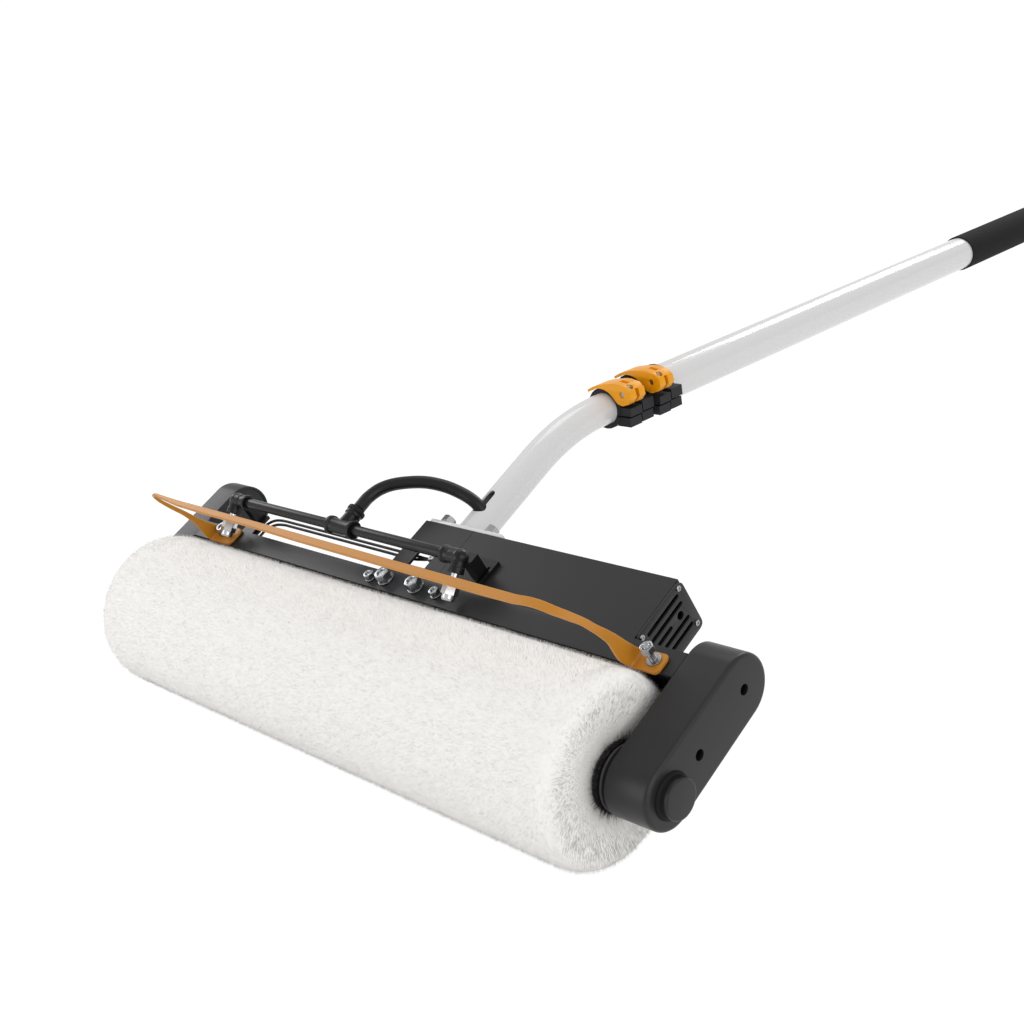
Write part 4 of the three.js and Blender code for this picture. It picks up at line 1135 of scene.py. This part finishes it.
def make_beam():
    """The beam's folded plate. Left of the saddle its front edge is rolled back."""
    low, high = span("beam")
    left, right = span("idler_housing")[1].x + 1, span("pole_saddle")[0].x
    front, over = low.y - 1, high.z + 0.6
    wedge = [(front, high.z - 3.1), (low.y + 5.2, over), (front, over)]
    rolled = from_loops([[Vector((x, a, b)) for a, b in wedge] for x in (left, right)])
    mesh = bored(joined(cad_mesh("beam")), rolled)
    beam = finish_piece("roller_beam", mesh, powder_charcoal, ["beam"], sharp=30)
    soften(beam, EDGE_WIDTH["beam"])


def make_levers():
    """The clamps' levers, smooth mouldings with a screw in a pocket near the back edge."""
    screw_in = Vector((5.5, 23.5, 14.6))
    screw_way = (0.66, -0.68, 0.32)
    radius, depth = 3.4, 3
    for side in ("middle", "outer"):
        node, body = "clamp_lever_" + side, side + "_lever"
        place = pointing(span(node)[1] - screw_in, screw_way)
        hole = [(0, depth, 0), (radius, depth, 0), (radius, -depth, 0), (0, -depth, 0)]
        pocket = turned_solid(hole, sides=32, axis="Z")
        pocket.transform(place)
        seated = HEAD @ place @ Matrix.Translation((0, 0, 0.1 - depth))
        finish_piece(body + "_screw", cross_screw(2.5, 1.6), zinc_plate, (), body, seated)
        mesh = bored(cad_mesh(node), pocket)
        lever = finish_piece(
            side + "_clamp_lever", mesh, polypropylene_amber, [node], body, sharp=42
        )
        soften(lever, 1.0, segments=3, angle=42)


def dress_frame():
    """Finishes and softened edges for the CAD pieces."""
    for name, piece in NODES.items():
        slot = piece.data.materials[0].name.split(".")[0]
        piece.data.materials.clear()
        piece.data.materials.append(SLOT_FINISH[slot])
        if name in EDGE_WIDTH:
            soften(piece, EDGE_WIDTH[name])


make_roller()
make_belt_housing()
make_idler_housing()
make_end_cap()
make_neck()
make_telescope()
make_grip()
make_neck_flange()
make_fasteners()
make_spray_line()
make_lead()
make_beam()
make_guard()
make_levers()
dress_frame()

# ---- Studio ----


def make_floor():
    """A pale floor. The camera, mirrors and glass see it nearly white, with a faint shadow."""
    half, white_share = 30, 0.9
    mesh = bpy.data.meshes.new("floor")
    corners = [(-half, -half, 0), (half, -half, 0), (half, half, 0), (-half, half, 0)]
    mesh.from_pydata(corners, [], [(0, 1, 2, 3)])
    floor = put("floor", mesh)
    material = bpy.data.materials.new("studio_floor")
    material.use_nodes = True
    tree = material.node_tree
    tree.nodes.clear()
    path = add(tree, "ShaderNodeLightPath")
    seen = add(
        tree,
        "ShaderNodeMath",
        {0: (path, "Is Camera Ray"), 1: (path, "Is Glossy Ray")},
        operation="MAXIMUM",
    )
    through = add(
        tree, "ShaderNodeMath", {0: (seen, 0), 1: (path, "Is Transmission Ray")}, operation="MAXIMUM"
    )
    share = add(tree, "ShaderNodeMath", {0: (through, 0), 1: white_share}, operation="MULTIPLY")
    paint = add(tree, "ShaderNodeBsdfDiffuse", {"Color": (0.85, 0.85, 0.85, 1)})
    glow = add(tree, "ShaderNodeEmission", {"Color": (1, 1, 1, 1), "Strength": 1.07})
    mix = add(
        tree, "ShaderNodeMixShader", {0: (share, "Value"), 1: (paint, "BSDF"), 2: (glow, "Emission")}
    )
    add(tree, "ShaderNodeOutputMaterial", {"Surface": (mix, "Shader")})
    mesh.materials.append(material)


def make_world():
    """A soft white surround, a little brighter where the camera sees it."""
    world = bpy.data.worlds.new("studio")
    bpy.context.scene.world = world
    world.use_nodes = True
    tree = world.node_tree
    tree.nodes.clear()
    path = add(tree, "ShaderNodeLightPath")
    strength = add(
        tree, "ShaderNodeMapRange", {"Value": (path, "Is Camera Ray"), "To Min": 0.69, "To Max": 1.03}
    )
    sky = add(tree, "ShaderNodeBackground", {"Color": (1, 1, 1, 1), "Strength": (strength, "Result")})
    add(tree, "ShaderNodeOutputWorld", {"Surface": (sky, "Background")})


def make_camera():
    """A 50 mm lens, looking down at the head from its front right."""
    camera = bpy.data.cameras.new("camera")
    camera.lens = 50
    camera.sensor_width = 36
    camera.clip_end = 100
    holder = put("camera", camera)
    holder.location = (0.94146, -1.18956, 0.68784)
    holder.rotation_euler = [math.radians(angle) for angle in (64.2195, 14.1746, 44.5463)]
    bpy.context.scene.camera = holder


# Each lamp's place in metres, the side of its square in metres, and its power in watts.
LAMPS = {
    "front_left": ((-1.0, -2.2, 0.8), 1.3, 11),
    "left": ((-2.2, -0.3, 1.3), 0.9, 9),
    "overhead": ((-0.8, 0.9, 2.4), 1.2, 9),
    "rear": ((-0.5, 2.7, 1.6), 1.2, 26),
    "right": ((1.9, -0.9, 0.9), 1.6, 13),
}


def make_lamps():
    """Soft square lamps, all turned to one point on the head."""
    target = Vector((-0.05, -0.45, 0.1))
    for name, (place, size, power) in LAMPS.items():
        light = bpy.data.lights.new(name, "AREA")
        light.shape = "SQUARE"
        light.size = size
        light.energy = power
        lamp = put(name, light)
        lamp.location = place
        lamp.rotation_euler = (target - Vector(place)).to_track_quat("-Z", "Y").to_euler()


make_floor()
make_world()
make_camera()
make_lamps()
bpy.context.scene.view_settings.view_transform = "Standard"
